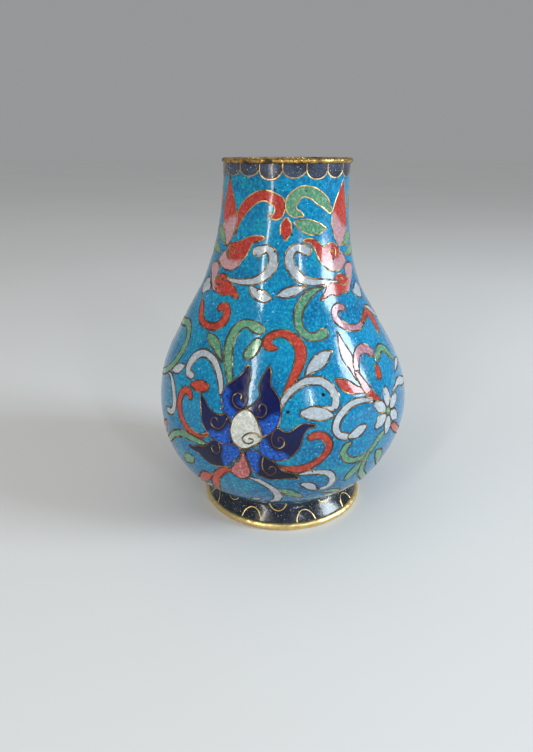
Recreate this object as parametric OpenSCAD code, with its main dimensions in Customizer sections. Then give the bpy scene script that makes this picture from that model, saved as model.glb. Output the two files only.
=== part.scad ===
// Cloisonne vase: a spun copper pear shape on a flared foot, gilt at the lip
// and foot, with coloured enamels fired into cells of thin gilt wire.
// Millimetres, +Z up, origin at the middle of the foot's resting face.

/* [Vase] */
// Height from the resting face to the top of the lip
vase_h = 90; // [80:1:100]
// Radius of the widest part of the belly
belly_r = 32.75; // [30:0.25:35]
// Radius of the enamelled neck just below the lip
neck_r = 15.05; // [14:0.05:16]
// Radius where the body meets the foot
waist_r = 18.6; // [17.5:0.1:19.5]
// Height where the body meets the foot
waist_z = 6.6; // [6:0.1:7]

/* [Metal and enamel] */
// Thickness of the spun copper wall
copper_t = 0.8; // [0.6:0.1:1]
// Thickness of the outer enamel and of the wires that stand in it
enamel_t = 0.8; // [0.6:0.1:1]
// Thickness of the plain enamel inside the vase and under its floor
lining_t = 0.4; // [0.3:0.1:0.5]
// Width of a cell wire
wire_w = 0.3; // [0.25:0.05:0.4]

/* [Lip and foot] */
// Outer radius of the gilt lip
lip_r = 15.5; // [15.3:0.1:16]
// Height of the gilt lip
lip_h = 1.1; // [0.9:0.1:1.3]
// Depth of the dark enamel band under the lip
neck_band_h = 2.6; // [2.2:0.1:3]
// Number of scalloped cells in the band under the lip
lappets = 18; // [12:1:24]
// Outer radius of the gilt foot rim
foot_r = 22; // [21:0.1:22.5]
// Height of the gilt foot rim
rim_h = 2.1; // [1.6:0.1:2.4]
// Number of cloud arches around the foot
foot_arches = 9; // [6:1:12]

/* [Hidden] */
$fn = 96;

// Heights along the axis, and the copper surface that the enamel lies on
lip_z = vase_h - lip_h;
// The outer profile as [radius, height], from the foot to the lip
key_profile = [
    [waist_r, waist_z],
    [22.9, 9],
    [26.3, 12],
    [29.1, 16],
    [belly_r - 1.5, 20.6],
    [belly_r - 0.25, 26.4],
    [belly_r - 0.1, 32.6],
    [31, 39.6],
    [28.1, 45.8],
    [24.2, 52.8],
    [20.1, 60.2],
    [17.3, 67.6],
    [15.8, 76],
    [neck_r, lip_z - 2],
    [neck_r, lip_z]
];

// The clusters' places as [angle, arc length]
lotus_angle = -15;
flower_at = [51.2, 32.8];
// Scallops: turn of the first, half width as a share of the pitch, drop and overrun at the lip
lappet_turn = 6;
lappet_half = 0.48;
lappet_drop = neck_band_h + 0.4;
lappet_over = 1;
// Reach of a prism out through the wall, clear of the axis and past the belly
reach_from = 6;
reach_to = belly_r + 6;
// Size of a cloud arch on the foot
foot_cloud_r = 2.3;
foot_arch_turn = -22;
foot_enamel_t = 0.6;
// Foot wall: it steps in from the rim's edge, and leaves the waist almost straight down
rim_step = 0.6;
waist_drop = 1.3;
waist_flare = 0.2;
// How far the foot's hollow curve lies inside and below its chord
foot_hollow = 0.4;
foot_sag = 0.6;
// Growth too small to see, which turns a drawn region into one outline
hair = 0.001;
// Turn of the white flower's first petal from straight up
flower_turn = 4;

// A smooth curve through points: cubic spans whose end slopes follow the chords
function slope(p0, p1, p2) =
    let (a = norm(p1 - p0), b = norm(p2 - p1))
    ((p1 - p0) / a * b + (p2 - p1) / b * a) / (a + b);
function span(p, i, t) =
    let (
        n = len(p),
        before = i > 0 ? p[i - 1] : 2 * p[0] - p[1],
        after = i + 2 < n ? p[i + 2] : 2 * p[n - 1] - p[n - 2],
        d = norm(p[i + 1] - p[i]),
        m1 = slope(before, p[i], p[i + 1]) * d,
        m2 = slope(p[i], p[i + 1], after) * d
    )
    (2 * t ^ 3 - 3 * t ^ 2 + 1) * p[i] + (t ^ 3 - 2 * t ^ 2 + t) * m1
    + (3 * t ^ 2 - 2 * t ^ 3) * p[i + 1] + (t ^ 3 - t ^ 2) * m2;
function smooth(p, steps) = concat(
    [for (i = [0 : len(p) - 2], k = [0 : steps - 1]) span(p, i, k / steps)],
    [p[len(p) - 1]]
);

// The outer profile moved inward by t, and arc length along it from the foot
function normal_at(i) =
    let (
        a = key_profile[max(i - 1, 0)],
        b = key_profile[min(i + 1, len(key_profile) - 1)],
        d = (b - a) / norm(b - a)
    )
    [d[1], -d[0]];
function inset(t) = [for (i = [0 : len(key_profile) - 1]) key_profile[i] - t * normal_at(i)];
fine = smooth(key_profile, 12);
arc = [
    for (i = 0, s = 0; i < len(fine);
         s = s + (i + 1 < len(fine) ? norm(fine[i + 1] - fine[i]) : 0), i = i + 1)
    s
];
arc_r = [for (i = [0 : len(fine) - 1]) [arc[i], fine[i][0]]];
arc_z = [for (i = [0 : len(fine) - 1]) [arc[i], fine[i][1]]];

// The foot from the waist down: outer face of its enamel as [radius, height]
floor_z = inset(enamel_t)[0][1];
foot_profile = [
    [waist_r, waist_z],
    [waist_r + waist_flare, waist_z - waist_drop],
    [(waist_r + foot_r) / 2 - foot_hollow, (waist_z + rim_h) / 2 - foot_sag],
    [foot_r - rim_step, rim_h]
];

// Cells of one side. Scrolls and leaves run along their middle as
// [angle, arc length from the foot, half width]; petals are outlines of [angle, arc length].
neck_red = [
    [[-42.4, 77.4, 0.3], [-40.8, 80, 0.9], [-35, 82.5, 1.2], [-25, 84.6, 1.1], [-15, 84.9, 1.1],
     [-6, 83.7, 1.3], [-6.2, 80.9, 0.9], [-12.3, 81, 0.2]],
    [[1.5, 80, 0.5], [1.5, 78.2, 1.2], [1.6, 76.2, 0.6]],
    [[90, 80.1, 0.5], [90, 78.2, 1.2], [90, 76.6, 0.9]],
    [[109, 82, 0.2], [97, 85.3, 1.1], [92.8, 82, 1], [97, 81.4, 0.5]]
];
neck_green = [
    [[41, 81.6, 0.6], [30, 84.3, 1.4], [20, 85.7, 1.2], [10, 85.4, 1.1], [4.4, 82.5, 1.1],
     [12.5, 81.1, 0.6], [14.5, 80.8, 0.2]],
    [[8.8, 79.4, 0.2], [20, 78.4, 1.4], [30, 77.8, 0.9], [36, 77.8, 0.1]],
    [[-54, 73.6, 0.1], [-60, 75.2, 1], [-66, 76.2, 1.3], [-75, 76.5, 0.6]],
    [[57, 73.6, 0.1], [62, 74.4, 1], [68, 75, 1.3], [77, 75.3, 0.6]],
    [[-60, 71.6, 0.1], [-67, 72.3, 1], [-76, 72.6, 1.1], [-85, 72, 0.4]],
    [[60, 71.4, 0.1], [67, 71.8, 1], [76, 72, 1.1], [85, 71.5, 0.4]],
    [[71, 82, 0.2], [83, 85.3, 1.1], [87.2, 82, 1], [83, 81.4, 0.5]]
];
neck_white = [
    [[-73, 63, 0.7], [-70, 63, 1.9], [-66, 63.1, 2.1], [-62, 63, 1.1]],
    [[75, 62, 0.7], [72, 62, 1.8], [68, 62, 2], [63, 62, 1]],
    [[-42, 66.2, 0.3], [-28, 66, 0.7], [-14, 67.3, 1], [-6.7, 70.8, 1.1], [-12.5, 73.7, 0.8],
     [-19.5, 73.1, 1.1]],
    [[-20.5, 64.9, 0.4], [-12.5, 63.2, 1.2], [-6.6, 62.8, 0.4]],
    [[44, 65.6, 0.3], [28, 66.1, 0.7], [15, 67, 1], [5.4, 70.7, 1], [9.5, 73.9, 0.8],
     [18.7, 73.3, 1.1]],
    [[-2.5, 63.4, 0.1], [7, 64.3, 1.1], [17.5, 65.2, 0.2]],
    [[84, 63.6, 0.2], [90, 66.3, 1.1], [96, 69.4, 0.2]]
];
neck_red_petals = [
    [[-45, 80.6], [-50, 84], [-54.5, 86.2], [-58.5, 87.8], [-63, 85.4], [-67.5, 81.6],
     [-63, 79.6], [-57, 79.4], [-50, 80]],
    [[44, 80.8], [50, 84.2], [55, 86.4], [59.5, 87.8], [65, 84.2], [69, 81], [68, 78.6],
     [63, 77.2], [58, 78], [50, 80]],
    [[-15, 75.9], [-24, 76.4], [-30, 75.9], [-42, 74.6], [-47, 74.2], [-48.5, 71.5], [-44, 70.6],
     [-33, 70.6], [-29.5, 71.7], [-24.5, 74.7], [-20, 75.2]],
    [[-28.3, 62.2], [-36, 65.1], [-40, 65.8], [-49, 67.1], [-53.5, 66.4], [-53, 63.6], [-48, 62.7],
     [-36, 62.7], [-32, 62.2]],
    [[15.5, 75.5], [26, 75.5], [30, 74.7], [37, 74.2], [41, 74.6], [50, 73.2], [51.5, 72],
     [42, 70.6], [38, 70.1], [30, 70.5], [27.5, 72], [21, 74.9], [17, 75.1]],
    [[27, 61.8], [35, 65.2], [40, 66], [49, 67.3], [54, 66.5], [53, 63.7], [48, 62.8], [36, 62.8],
     [31, 62.2]]
];
neck_pink_petals = [
    [[-45, 79.4], [-50, 80], [-57, 79.4], [-60, 78], [-58, 76], [-54, 74.5], [-51, 73.8],
     [-48, 75], [-45.5, 77]],
    [[43, 80.2], [50, 80], [58, 78], [63, 77.2], [60, 75.5], [56, 74.2], [52, 74.2], [48, 75],
     [44.5, 77]],
    [[-60, 70], [-56, 71.5], [-52.5, 72.4], [-49, 71.2], [-44, 70.6], [-38, 70.1], [-33, 70.6],
     [-35, 69.2], [-40, 68.3], [-46, 68.1], [-52, 68.5], [-57, 69.3]],
    [[-71, 68], [-64, 69.3], [-58, 69], [-55, 67.8], [-55.5, 66.5], [-56, 65.2], [-53, 63.9],
     [-48, 62.8], [-54, 62.7], [-59, 64], [-65, 66]],
    [[60, 70], [53.5, 72.2], [51.5, 72], [42, 70.6], [38, 70.1], [36, 68.8], [41, 68.1],
     [52, 68.4], [57, 69.2]],
    [[71, 68], [64, 69.3], [58, 69], [55, 67.8], [56, 66.5], [57, 65.2], [53, 63.9], [48, 62.8],
     [54, 62.6], [59, 63.8], [65, 65.8]]
];
shoulder_red = [
    [[-63, 59.8, 0.5], [-53.5, 55.6, 0.9], [-43, 54.5, 0.8], [-34.3, 56.5, 1.1], [-36.5, 59.8, 1],
     [-40.3, 59.4, 0.9]],
    [[56, 54.9, 0.6], [66, 56.4, 0.9], [70.5, 52.8, 1.6], [69, 50.6, 0.6]],
    [[-1.3, 51.5, 0.2], [-6.6, 52.4, 1.1], [-2.5, 54.6, 0.8], [6.5, 53.9, 1.1], [10.3, 50, 1.3],
     [6, 45.2, 0.9], [1.5, 41.7, 0.2]],
    [[51.3, 43.6, 0.9], [50.2, 41.9, 1.1]],
    [[90, 49.8, 0.2], [91, 47, 1.1], [91.5, 44.6, 1.3], [90.5, 42.4, 0.5]]
];
shoulder_green = [
    [[31, 64.7, 0.1], [20, 63.7, 0.9], [11.8, 60, 1], [12, 55.4, 0.9], [20, 53.7, 1],
     [24.3, 54.3, 1.2]],
    [[-84, 51.5, 1], [-67, 52.8, 1], [-58.8, 50, 1], [-60.3, 44.2, 1.1], [-69.5, 39.2, 0.9],
     [-83, 36.5, 0.4]],
    [[-42, 52.6, 0.4], [-35, 50.8, 1.2], [-28.8, 47.3, 0.2]],
    [[-22.2, 42.8, 0.7], [-26.3, 49.5, 1.1], [-25, 54.8, 1.1], [-18, 56.7, 0.9], [-11, 55.6, 1.1]],
    [[-11.3, 52.6, 1], [-13.5, 51, 1.3], [-15.5, 49.7, 1.2]],
    [[53, 45.2, 0.4], [60, 47.2, 1], [68, 45.2, 1.2], [71, 43, 0.8]]
];
shoulder_white = [
    [[68, 57.8, 0.2], [74, 56.6, 0.8], [80, 54.6, 0.9], [86, 53, 0.5]],
    [[-26, 40.3, 0.5], [-29.5, 45, 0.8], [-37.5, 48, 0.9], [-46, 46.7, 1.1], [-47, 42.5, 0.9],
     [-44.2, 42.2, 0.9]],
    [[-60.3, 41, 0.5], [-56, 42.1, 1.2], [-52, 43.4, 0.5]],
    [[11.3, 45.3, 0.2], [19, 48.2, 1.6], [26.3, 50, 0.2]]
];
shoulder_pink = [
    [[43, 59.4, 0.8], [35.6, 59, 0.9], [37, 56, 0.9], [46, 54.1, 0.8], [56, 54.8, 0.7]],
    [[33, 54, 0.1], [34.3, 48.3, 1.5], [36.8, 43.2, 0.9]],
    [[37.3, 43.3, 0.6], [40.5, 47.8, 0.9], [48, 48.8, 1.2], [51, 47.6, 1.2]],
    [[90, 60.6, 0.2], [90, 58, 1.2], [90, 55.6, 1.4], [90, 53.4, 0.3]]
];
belly_red = [
    [[-42.3, 40.3, 0.5], [-39, 40.4, 1.2], [-35.5, 40.6, 1.2], [-33.8, 40.7, 0.7]],
    [[-31.3, 29.9, 0.3], [-40, 28.8, 0.8], [-47.3, 31.8, 1], [-48.2, 37, 0.9], [-43, 38.2, 0.9],
     [-42, 37.4, 0.8]],
    [[-62.5, 27, 0.3], [-66, 25, 1.2], [-70, 23, 1.2], [-75, 21.5, 0.4]],
    [[25.2, 43.7, 0.3], [31, 41.3, 1.4], [37.5, 39.9, 0.6]],
    [[36.8, 44, 0.6], [40, 39.8, 1.1], [46, 36.8, 0.4]],
    [[53.5, 28.8, 0.4], [61, 26, 1], [73, 22, 0.6]],
    [[11.4, 31.4, 0.8], [16.5, 31.4, 0.9], [18.7, 27.9, 0.9], [13, 24.4, 0.9], [5.5, 23.3, 1],
     [-0.5, 24.2, 0.3]],
    [[-20.8, 21.4, 0.5], [-27.5, 19.2, 1.1], [-32, 14, 1.1], [-33.5, 11, 0.7]],
    [[-31.9, 17.7, 0.3], [-37.5, 15.6, 1.4], [-46, 11.6, 0.9], [-51, 10.2, 0.5]],
    [[82, 27.2, 0.3], [91, 28, 0.9], [96.5, 22.8, 1], [91.6, 21.8, 0.7]]
];
belly_green = [
    [[-31.5, 27.2, 0.2], [-40, 27.2, 0.9], [-50, 26.5, 0.9], [-60, 22.8, 0.9], [-73, 18.5, 0.4]],
    [[-50, 17.8, 0.3], [-47, 19.3, 1.3], [-44, 20.5, 1.5], [-41.5, 21.3, 0.6]],
    [[28.6, 28.4, 0.5], [26, 26, 0.9], [31.5, 23.2, 0.9], [39, 23.5, 0.9], [45, 27, 0.9],
     [48.5, 28.2, 0.6]],
    [[39.8, 23.5, 0.7], [40.7, 17.5, 0.9], [51, 12, 0.9], [57, 9.5, 0.6]],
    [[37.7, 21.8, 0.3], [35.5, 20, 1.3], [33.5, 18.3, 1.4], [31.3, 16.8, 0.4]],
    [[45.5, 23.2, 0.3], [51, 20.2, 1.3], [58, 15.3, 0.3]],
    [[0.6, 16, 0.2], [4, 15, 1.2], [7.5, 13.8, 1], [11.2, 12.2, 0.2]],
    [[22, 13, 0.3], [26, 13, 0.9], [30, 12, 0.8], [34, 10.5, 0.3]],
    [[84, 30.6, 0.3], [91.5, 34.2, 1], [93.6, 30.4, 0.9], [91, 30.2, 0.6]],
    [[74, 17.4, 0.2], [83, 14.6, 1.1], [93, 15.8, 0.2]]
];
belly_white = [
    [[-65, 39.5, 0.3], [-56.5, 37.8, 0.9], [-53.2, 33, 0.9], [-60, 30.6, 0.8]],
    [[-1.5, 37.6, 0.3], [6, 42.6, 0.8], [14, 44, 0.9], [21.5, 42.2, 1], [22.6, 38, 0.9],
     [19.2, 37.6, 0.6]],
    [[8.9, 37, 0.8], [13.5, 36.8, 1.6], [17, 36.4, 1.2], [20.3, 35.9, 0.3]],
    [[57.5, 36.7, 0.3], [66, 37.5, 1], [75, 36, 1], [81, 35, 0.7]],
    [[66, 40.2, 0.2], [70, 40.9, 0.7], [75, 41.3, 0.9], [81, 41, 0.3]],
    [[41, 37.2, 0.5], [30.5, 37.6, 0.8], [23, 34.6, 0.9], [23.5, 31, 0.8], [26.5, 30.4, 0.8]],
    [[28.6, 30.1, 0.7], [32, 30.7, 1.2], [35.2, 31.4, 0.8]],
    [[8, 21.6, 0.3], [16.5, 21.7, 0.8], [23.2, 19.3, 0.9], [22.7, 15.6, 0.9], [20.2, 15.3, 0.8]],
    [[10.6, 18, 0.7], [14, 16.9, 1.2], [16.8, 15.4, 0.6]],
    [[-13, 20, 0.3], [-5, 17.6, 0.8], [-0.3, 13, 1.1], [-3.8, 9.3, 0.6]],
    [[-15, 9.3, 0.2], [-12.3, 10.1, 0.9], [-9.5, 10.7, 0.3]],
    [[31, 8.5, 0.3], [41, 10.8, 1], [51, 7.8, 0.3]],
    [[-45.5, 8.6, 0.2], [-40.5, 10.6, 0.9], [-36, 12.5, 0.2]],
    [[80, 20.5, 0.3], [88, 22.4, 0.9], [88.4, 18.4, 0.8], [86, 18.6, 0.6]],
    [[62, 13, 0.2], [72, 10.6, 1], [83, 11.2, 0.2]]
];
lotus_petals = [
    [[-15, 47.4], [-17.5, 45.3], [-21.5, 43.2], [-24.3, 41.9], [-25.4, 40], [-24.8, 37.5],
     [-23.5, 35.8], [-20.5, 34.2], [-18, 36.3], [-15.3, 37.4], [-14.3, 38.4], [-13.6, 40],
     [-14, 42], [-13.4, 44.5], [-13.8, 46.6]],
    [[-5, 47.4], [-6.5, 46.2], [-8.6, 44], [-9, 42.2], [-8.6, 40.7], [-11, 39.1], [-13, 38.2],
     [-15.3, 37.4], [-12.5, 37.2], [-10, 35.8], [-8.4, 33.5], [-7.7, 31.3], [-6, 32], [-3.5, 32.8],
     [-1.5, 34], [-0.3, 36], [0, 38.5], [-0.6, 40.3], [-2.2, 41.8], [-3.9, 43], [-4.2, 44.8],
     [-4.2, 46.5]],
    [[-36, 38.8], [-33.5, 37.8], [-31, 36.2], [-28, 35.4], [-25, 35.3], [-23.5, 35.8],
     [-20.5, 34.2], [-20.7, 32], [-20, 30], [-20.8, 28.9], [-24, 28.4], [-28, 28.9], [-31.5, 30.3],
     [-33.8, 32], [-34.8, 34.5], [-35.7, 36.5]],
    [[-43, 24.6], [-38, 25.5], [-34, 26.1], [-32, 26.9], [-30, 28.1], [-27.8, 28.8], [-24, 28.4],
     [-20.8, 28.9], [-17.5, 28.4], [-16.2, 27.2], [-17.3, 25.8], [-20, 24], [-23, 22.3],
     [-26, 21.8], [-29, 21.5], [-33, 22.2], [-37, 23.6]],
    [[13.8, 34], [9, 34.7], [6, 34], [3.5, 33], [1, 33], [-1.5, 33.8], [-3.5, 32.8], [-6, 32],
     [-7.7, 31.3], [-8.9, 29.8], [-9, 28.4], [-7.5, 27], [-5, 26.1], [-2, 25.8], [1, 26], [4, 27],
     [6.5, 28.8], [7.6, 30.3], [8.7, 32.2], [10.2, 33.3]],
    [[8.3, 19.9], [6.5, 21.5], [4, 22.3], [1, 22.8], [-1, 24.2], [-3, 25.5], [-5, 26.1],
     [-7.5, 27], [-9.5, 27.9], [-12, 28.2], [-14.4, 27.5], [-13.5, 25.5], [-12.5, 23.8],
     [-11, 22.3], [-8.5, 21], [-5.5, 20.2], [-2, 19.9], [2, 20.4], [5, 20.4]]
];
lotus_heart = [
    [[-15.3, 37.4], [-20.2, 34.3], [-20.8, 32], [-18.3, 28.9], [-16, 28.1], [-11.5, 29], [-9, 30],
     [-8.4, 33.5], [-10, 35.8]]
];
lotus_calyx = [
    [[-15.4, 27.9], [-14.3, 25.8], [-13, 23.6], [-12.2, 22], [-12.8, 20.4], [-15, 19.4],
     [-17.5, 19.3], [-20, 20.3], [-21, 21.8], [-19.5, 23.3], [-17.3, 24.7], [-16.2, 26.3]]
];
lotus_outlines = concat(lotus_petals, lotus_heart, lotus_calyx);

// Radius, height and width of one degree at arc length s
function radius_at(s) = lookup(s, arc_r);
function height_at(s) = lookup(s, arc_z);
function mm_per_deg(s) = radius_at(s) * PI / 180;

// Outline of a scroll or leaf given as [angle, arc length, half width] along its middle
function heading(p, i) =
    let (
        a = p[max(i - 1, 0)],
        b = p[min(i + 1, len(p) - 1)],
        d = [(b[0] - a[0]) * mm_per_deg(p[i][1]), b[1] - a[1]]
    )
    d / norm(d);
function shifted(p, i, d) =
    [p[i][0] + d[0] * p[i][2] / mm_per_deg(p[i][1]), p[i][1] + d[1] * p[i][2]];
function beside(p, i, side) = let (h = heading(p, i)) shifted(p, i, [-h[1], h[0]] * side);
function band(p) =
    let (last = len(p) - 1)
    concat(
        [for (i = [0 : last]) beside(p, i, 1)],
        [shifted(p, last, heading(p, last))],
        [for (i = [last : -1 : 0]) beside(p, i, -1)],
        [shifted(p, 0, -heading(p, 0))]
    );
function bands(list) = [for (p = list) band(p)];

// Six petals around one eye
flower_petal = [[1, 0.35], [2.6, 1.1], [4, 1.2], [5, 0.7]];
flower_eye_r = 1;
function around_flower(a, d) = [
    flower_at[0] + sin(a) * d / mm_per_deg(flower_at[1]),
    flower_at[1] + cos(a) * d
];
flower_petals = bands([
    for (k = [0 : 5])
        [for (q = flower_petal) concat(around_flower(60 * k + flower_turn, q[0]), q[1])]
]);
flower_eye = [[for (a = [0 : 45 : 315]) around_flower(a, flower_eye_r)]];

// Scalloped cells hanging from the lip
lappet_pitch = 360 / lappets;
arc_end = arc[len(arc) - 1];
lappet_cells = [
    for (k = [0 : lappets - 1]) [
        for (b = [0 : 30 : 180]) [
            k * lappet_pitch + lappet_turn + lappet_half * lappet_pitch * cos(b),
            arc_end + lappet_over - (lappet_drop + lappet_over) * sin(b)
        ]
    ]
];

// Middle angle of an outline, and the outline as seen from angle a
function facing(p) = (min([for (q = p) q[0]]) + max([for (q = p) q[0]])) / 2;
function seen(p, a) = [for (q = p) [radius_at(q[1]) * sin(q[0] - a), height_at(q[1])]];
module outward(a)
    rotate([90, 0, a])
        translate([0, 0, reach_from])
            linear_extrude(reach_to - reach_from)
                children();
module outline(p, a, grow)
    offset(delta = grow)
        polygon(seen(p, a));

// The layer that fills and wires stand in
function reversed(p) = [for (i = [len(p) - 1 : -1 : 0]) p[i]];
module enamel_wall()
    rotate_extrude()
        polygon(concat(key_profile, reversed(inset(enamel_t))));

// Fills, wires and openings of a list of cells
module fills(list)
    intersection() {
        enamel_wall();
        for (p = list)
            outward(facing(p))
                outline(p, facing(p), -wire_w / 2);
    }
module wires(list)
    intersection() {
        enamel_wall();
        for (p = list)
            outward(facing(p))
                difference() {
                    outline(p, facing(p), wire_w / 2);
                    outline(p, facing(p), -wire_w / 2);
                }
    }
module cells(list)
    for (p = list)
        outward(facing(p))
            outline(p, facing(p), wire_w / 2);

// The lotus is one cluster of cells that share their wires, all seen from its middle
module lotus_fills(list)
    intersection() {
        enamel_wall();
        for (p = list)
            outward(lotus_angle)
                outline(p, lotus_angle, -wire_w / 2);
    }
module lotus_cells()
    outward(lotus_angle)
        offset(delta = wire_w / 2)
            for (p = lotus_outlines)
                polygon(seen(p, lotus_angle));
module lotus_net()
    intersection() {
        enamel_wall();
        outward(lotus_angle)
            offset(delta = hair)
                difference() {
                    offset(delta = wire_w / 2)
                        for (p = lotus_outlines)
                            polygon(seen(p, lotus_angle));
                    for (p = lotus_outlines)
                        outline(p, lotus_angle, -wire_w / 2);
                }
    }

// Metal
module copper_body()
    color("peru")
        rotate_extrude()
            polygon(concat(
                [[0, floor_z]],
                inset(enamel_t),
                reversed(inset(enamel_t + copper_t)),
                [[0, inset(enamel_t + copper_t)[0][1]]]
            ));
function foot_inset(t) = [for (q = foot_profile) [q[0] - t, q[1]]];
module copper_foot()
    color("peru")
        rotate_extrude()
            polygon(concat(
                [[foot_inset(foot_enamel_t)[0][0], floor_z]],
                foot_inset(foot_enamel_t),
                reversed(foot_inset(foot_enamel_t + copper_t)),
                [[foot_inset(foot_enamel_t + copper_t)[0][0], floor_z]]
            ));
module lip_collar() {
    inner_r = neck_r - enamel_t - copper_t - lining_t;
    color("gold")
        translate([0, 0, lip_z])
            rotate_extrude() {
                translate([inner_r, 0])
                    square([lip_r - lip_h / 2 - inner_r, lip_h]);
                translate([lip_r - lip_h / 2, lip_h / 2])
                    circle(d = lip_h);
            }
}
module foot_rim() {
    inner_r = foot_r - rim_step - foot_enamel_t - copper_t;
    color("gold")
        rotate_extrude() {
            translate([inner_r, 0])
                square([foot_r - rim_h / 2 - inner_r, rim_h]);
            translate([foot_r - rim_h / 2, rim_h / 2])
                circle(d = rim_h);
        }
}

// Plain enamels
module lining_enamel() {
    shell = inset(enamel_t + copper_t);
    glaze = inset(enamel_t + copper_t + lining_t);
    color("darkturquoise")
        rotate_extrude()
            polygon(concat(
                [[0, shell[0][1]]],
                shell,
                reversed(glaze),
                [[0, glaze[0][1]]]
            ));
}
module base_enamel()
    color("darkturquoise")
        translate([0, 0, floor_z - lining_t])
            cylinder(h = lining_t, r = foot_inset(foot_enamel_t + copper_t)[0][0]);
module turquoise_ground()
    color("deepskyblue")
        difference() {
            enamel_wall();
            both_sides() side_cells();
            cells(lappet_cells);
        }
module neck_band_enamel() color("darkslategray") fills(lappet_cells);
module neck_band_wires() color("goldenrod") wires(lappet_cells);

// Foot band: cloud arches of wire standing in dark enamel
module foot_wall()
    rotate_extrude()
        polygon(concat(
            [inset(enamel_t)[0]],
            foot_inset(0),
            reversed(foot_inset(foot_enamel_t)),
            [[foot_inset(foot_enamel_t)[0][0], floor_z]]
        ));
function arch(r) = [for (b = [-15 : 30 : 195]) r * [cos(b), sin(b)]];
module foot_arches_out()
    for (k = [0 : foot_arches - 1])
        outward(k * 360 / foot_arches + foot_arch_turn)
            translate([0, rim_h])
                offset(delta = hair)
                    difference() {
                        polygon(arch(foot_cloud_r));
                        polygon(arch(foot_cloud_r - wire_w));
                    }
module foot_band_enamel()
    color("midnightblue")
        difference() {
            foot_wall();
            foot_arches_out();
        }
module foot_band_wires()
    color("goldenrod")
        intersection() {
            foot_wall();
            foot_arches_out();
        }

// One side of the vase: the back repeats the front, turned half way round
neck_cells = concat(
    bands(neck_red), bands(neck_green), bands(neck_white), neck_red_petals, neck_pink_petals
);
shoulder_cells = concat(
    bands(shoulder_red), bands(shoulder_green), bands(shoulder_white), bands(shoulder_pink)
);
belly_cells = concat(bands(belly_red), bands(belly_green), bands(belly_white));
flower_cells = concat(flower_petals, flower_eye);
module both_sides() {
    children();
    back() children();
}
module back() rotate([0, 0, 180]) children();
module side_cells() {
    cells(neck_cells);
    cells(shoulder_cells);
    cells(belly_cells);
    cells(flower_cells);
    lotus_cells();
}
module lotus_petals_node() color("mediumblue") lotus_fills(lotus_petals);
module lotus_heart_node() color("ghostwhite") lotus_fills(lotus_heart);
module lotus_calyx_node() color("palevioletred") lotus_fills(lotus_calyx);
module lotus_wires() color("goldenrod") lotus_net();
module flower_petals_node() color("ghostwhite") fills(flower_petals);
module flower_eye_node() color("darkseagreen") fills(flower_eye);
module flower_wires() color("goldenrod") wires(flower_cells);
module neck_red_node() color("firebrick") fills(concat(bands(neck_red), neck_red_petals));
module neck_green_node() color("mediumseagreen") fills(bands(neck_green));
module neck_white_node() color("ghostwhite") fills(bands(neck_white));
module neck_pink_node() color("rosybrown") fills(neck_pink_petals);
module neck_wires() color("goldenrod") wires(neck_cells);
module shoulder_red_node() color("firebrick") fills(bands(shoulder_red));
module shoulder_green_node() color("mediumseagreen") fills(bands(shoulder_green));
module shoulder_white_node() color("ghostwhite") fills(bands(shoulder_white));
module shoulder_pink_node() color("rosybrown") fills(bands(shoulder_pink));
module shoulder_wires() color("goldenrod") wires(shoulder_cells);
module belly_red_node() color("firebrick") fills(bands(belly_red));
module belly_green_node() color("mediumseagreen") fills(bands(belly_green));
module belly_white_node() color("ghostwhite") fills(bands(belly_white));
module belly_wires() color("goldenrod") wires(belly_cells);

// What each name draws
copper_body();
copper_foot();
lip_collar();
foot_rim();
lining_enamel();
base_enamel();
turquoise_ground();
neck_band_enamel();
neck_band_wires();
foot_band_enamel();
foot_band_wires();
lotus_petals_node();  // front_lotus_petals
lotus_heart_node();  // front_lotus_heart
lotus_calyx_node();  // front_lotus_calyx
lotus_wires();  // front_lotus_wires
flower_petals_node();  // front_flower_petals
flower_eye_node();  // front_flower_eye
flower_wires();  // front_flower_wires
neck_red_node();  // front_neck_red
neck_green_node();  // front_neck_green
neck_white_node();  // front_neck_white
neck_pink_node();  // front_neck_pink
neck_wires();  // front_neck_wires
shoulder_red_node();  // front_shoulder_red
shoulder_green_node();  // front_shoulder_green
shoulder_white_node();  // front_shoulder_white
shoulder_pink_node();  // front_shoulder_pink
shoulder_wires();  // front_shoulder_wires
belly_red_node();  // front_belly_red
belly_green_node();  // front_belly_green
belly_white_node();  // front_belly_white
belly_wires();  // front_belly_wires
back() lotus_petals_node();  // back_lotus_petals
back() lotus_heart_node();  // back_lotus_heart
back() lotus_calyx_node();  // back_lotus_calyx
back() lotus_wires();  // back_lotus_wires
back() flower_petals_node();  // back_flower_petals
back() flower_eye_node();  // back_flower_eye
back() flower_wires();  // back_flower_wires
back() neck_red_node();  // back_neck_red
back() neck_green_node();  // back_neck_green
back() neck_white_node();  // back_neck_white
back() neck_pink_node();  // back_neck_pink
back() neck_wires();  // back_neck_wires
back() shoulder_red_node();  // back_shoulder_red
back() shoulder_green_node();  // back_shoulder_green
back() shoulder_white_node();  // back_shoulder_white
back() shoulder_pink_node();  // back_shoulder_pink
back() shoulder_wires();  // back_shoulder_wires
back() belly_red_node();  // back_belly_red
back() belly_green_node();  // back_belly_green
back() belly_white_node();  // back_belly_white
back() belly_wires();  // back_belly_wires
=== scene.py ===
"""Looks of the cloisonne vase: enamel cells, wires and gilt trim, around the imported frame."""

import math

import bpy
import numpy as np
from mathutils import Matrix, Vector
from mathutils.geometry import delaunay_2d_cdt
from mathutils.kdtree import KDTree


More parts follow.
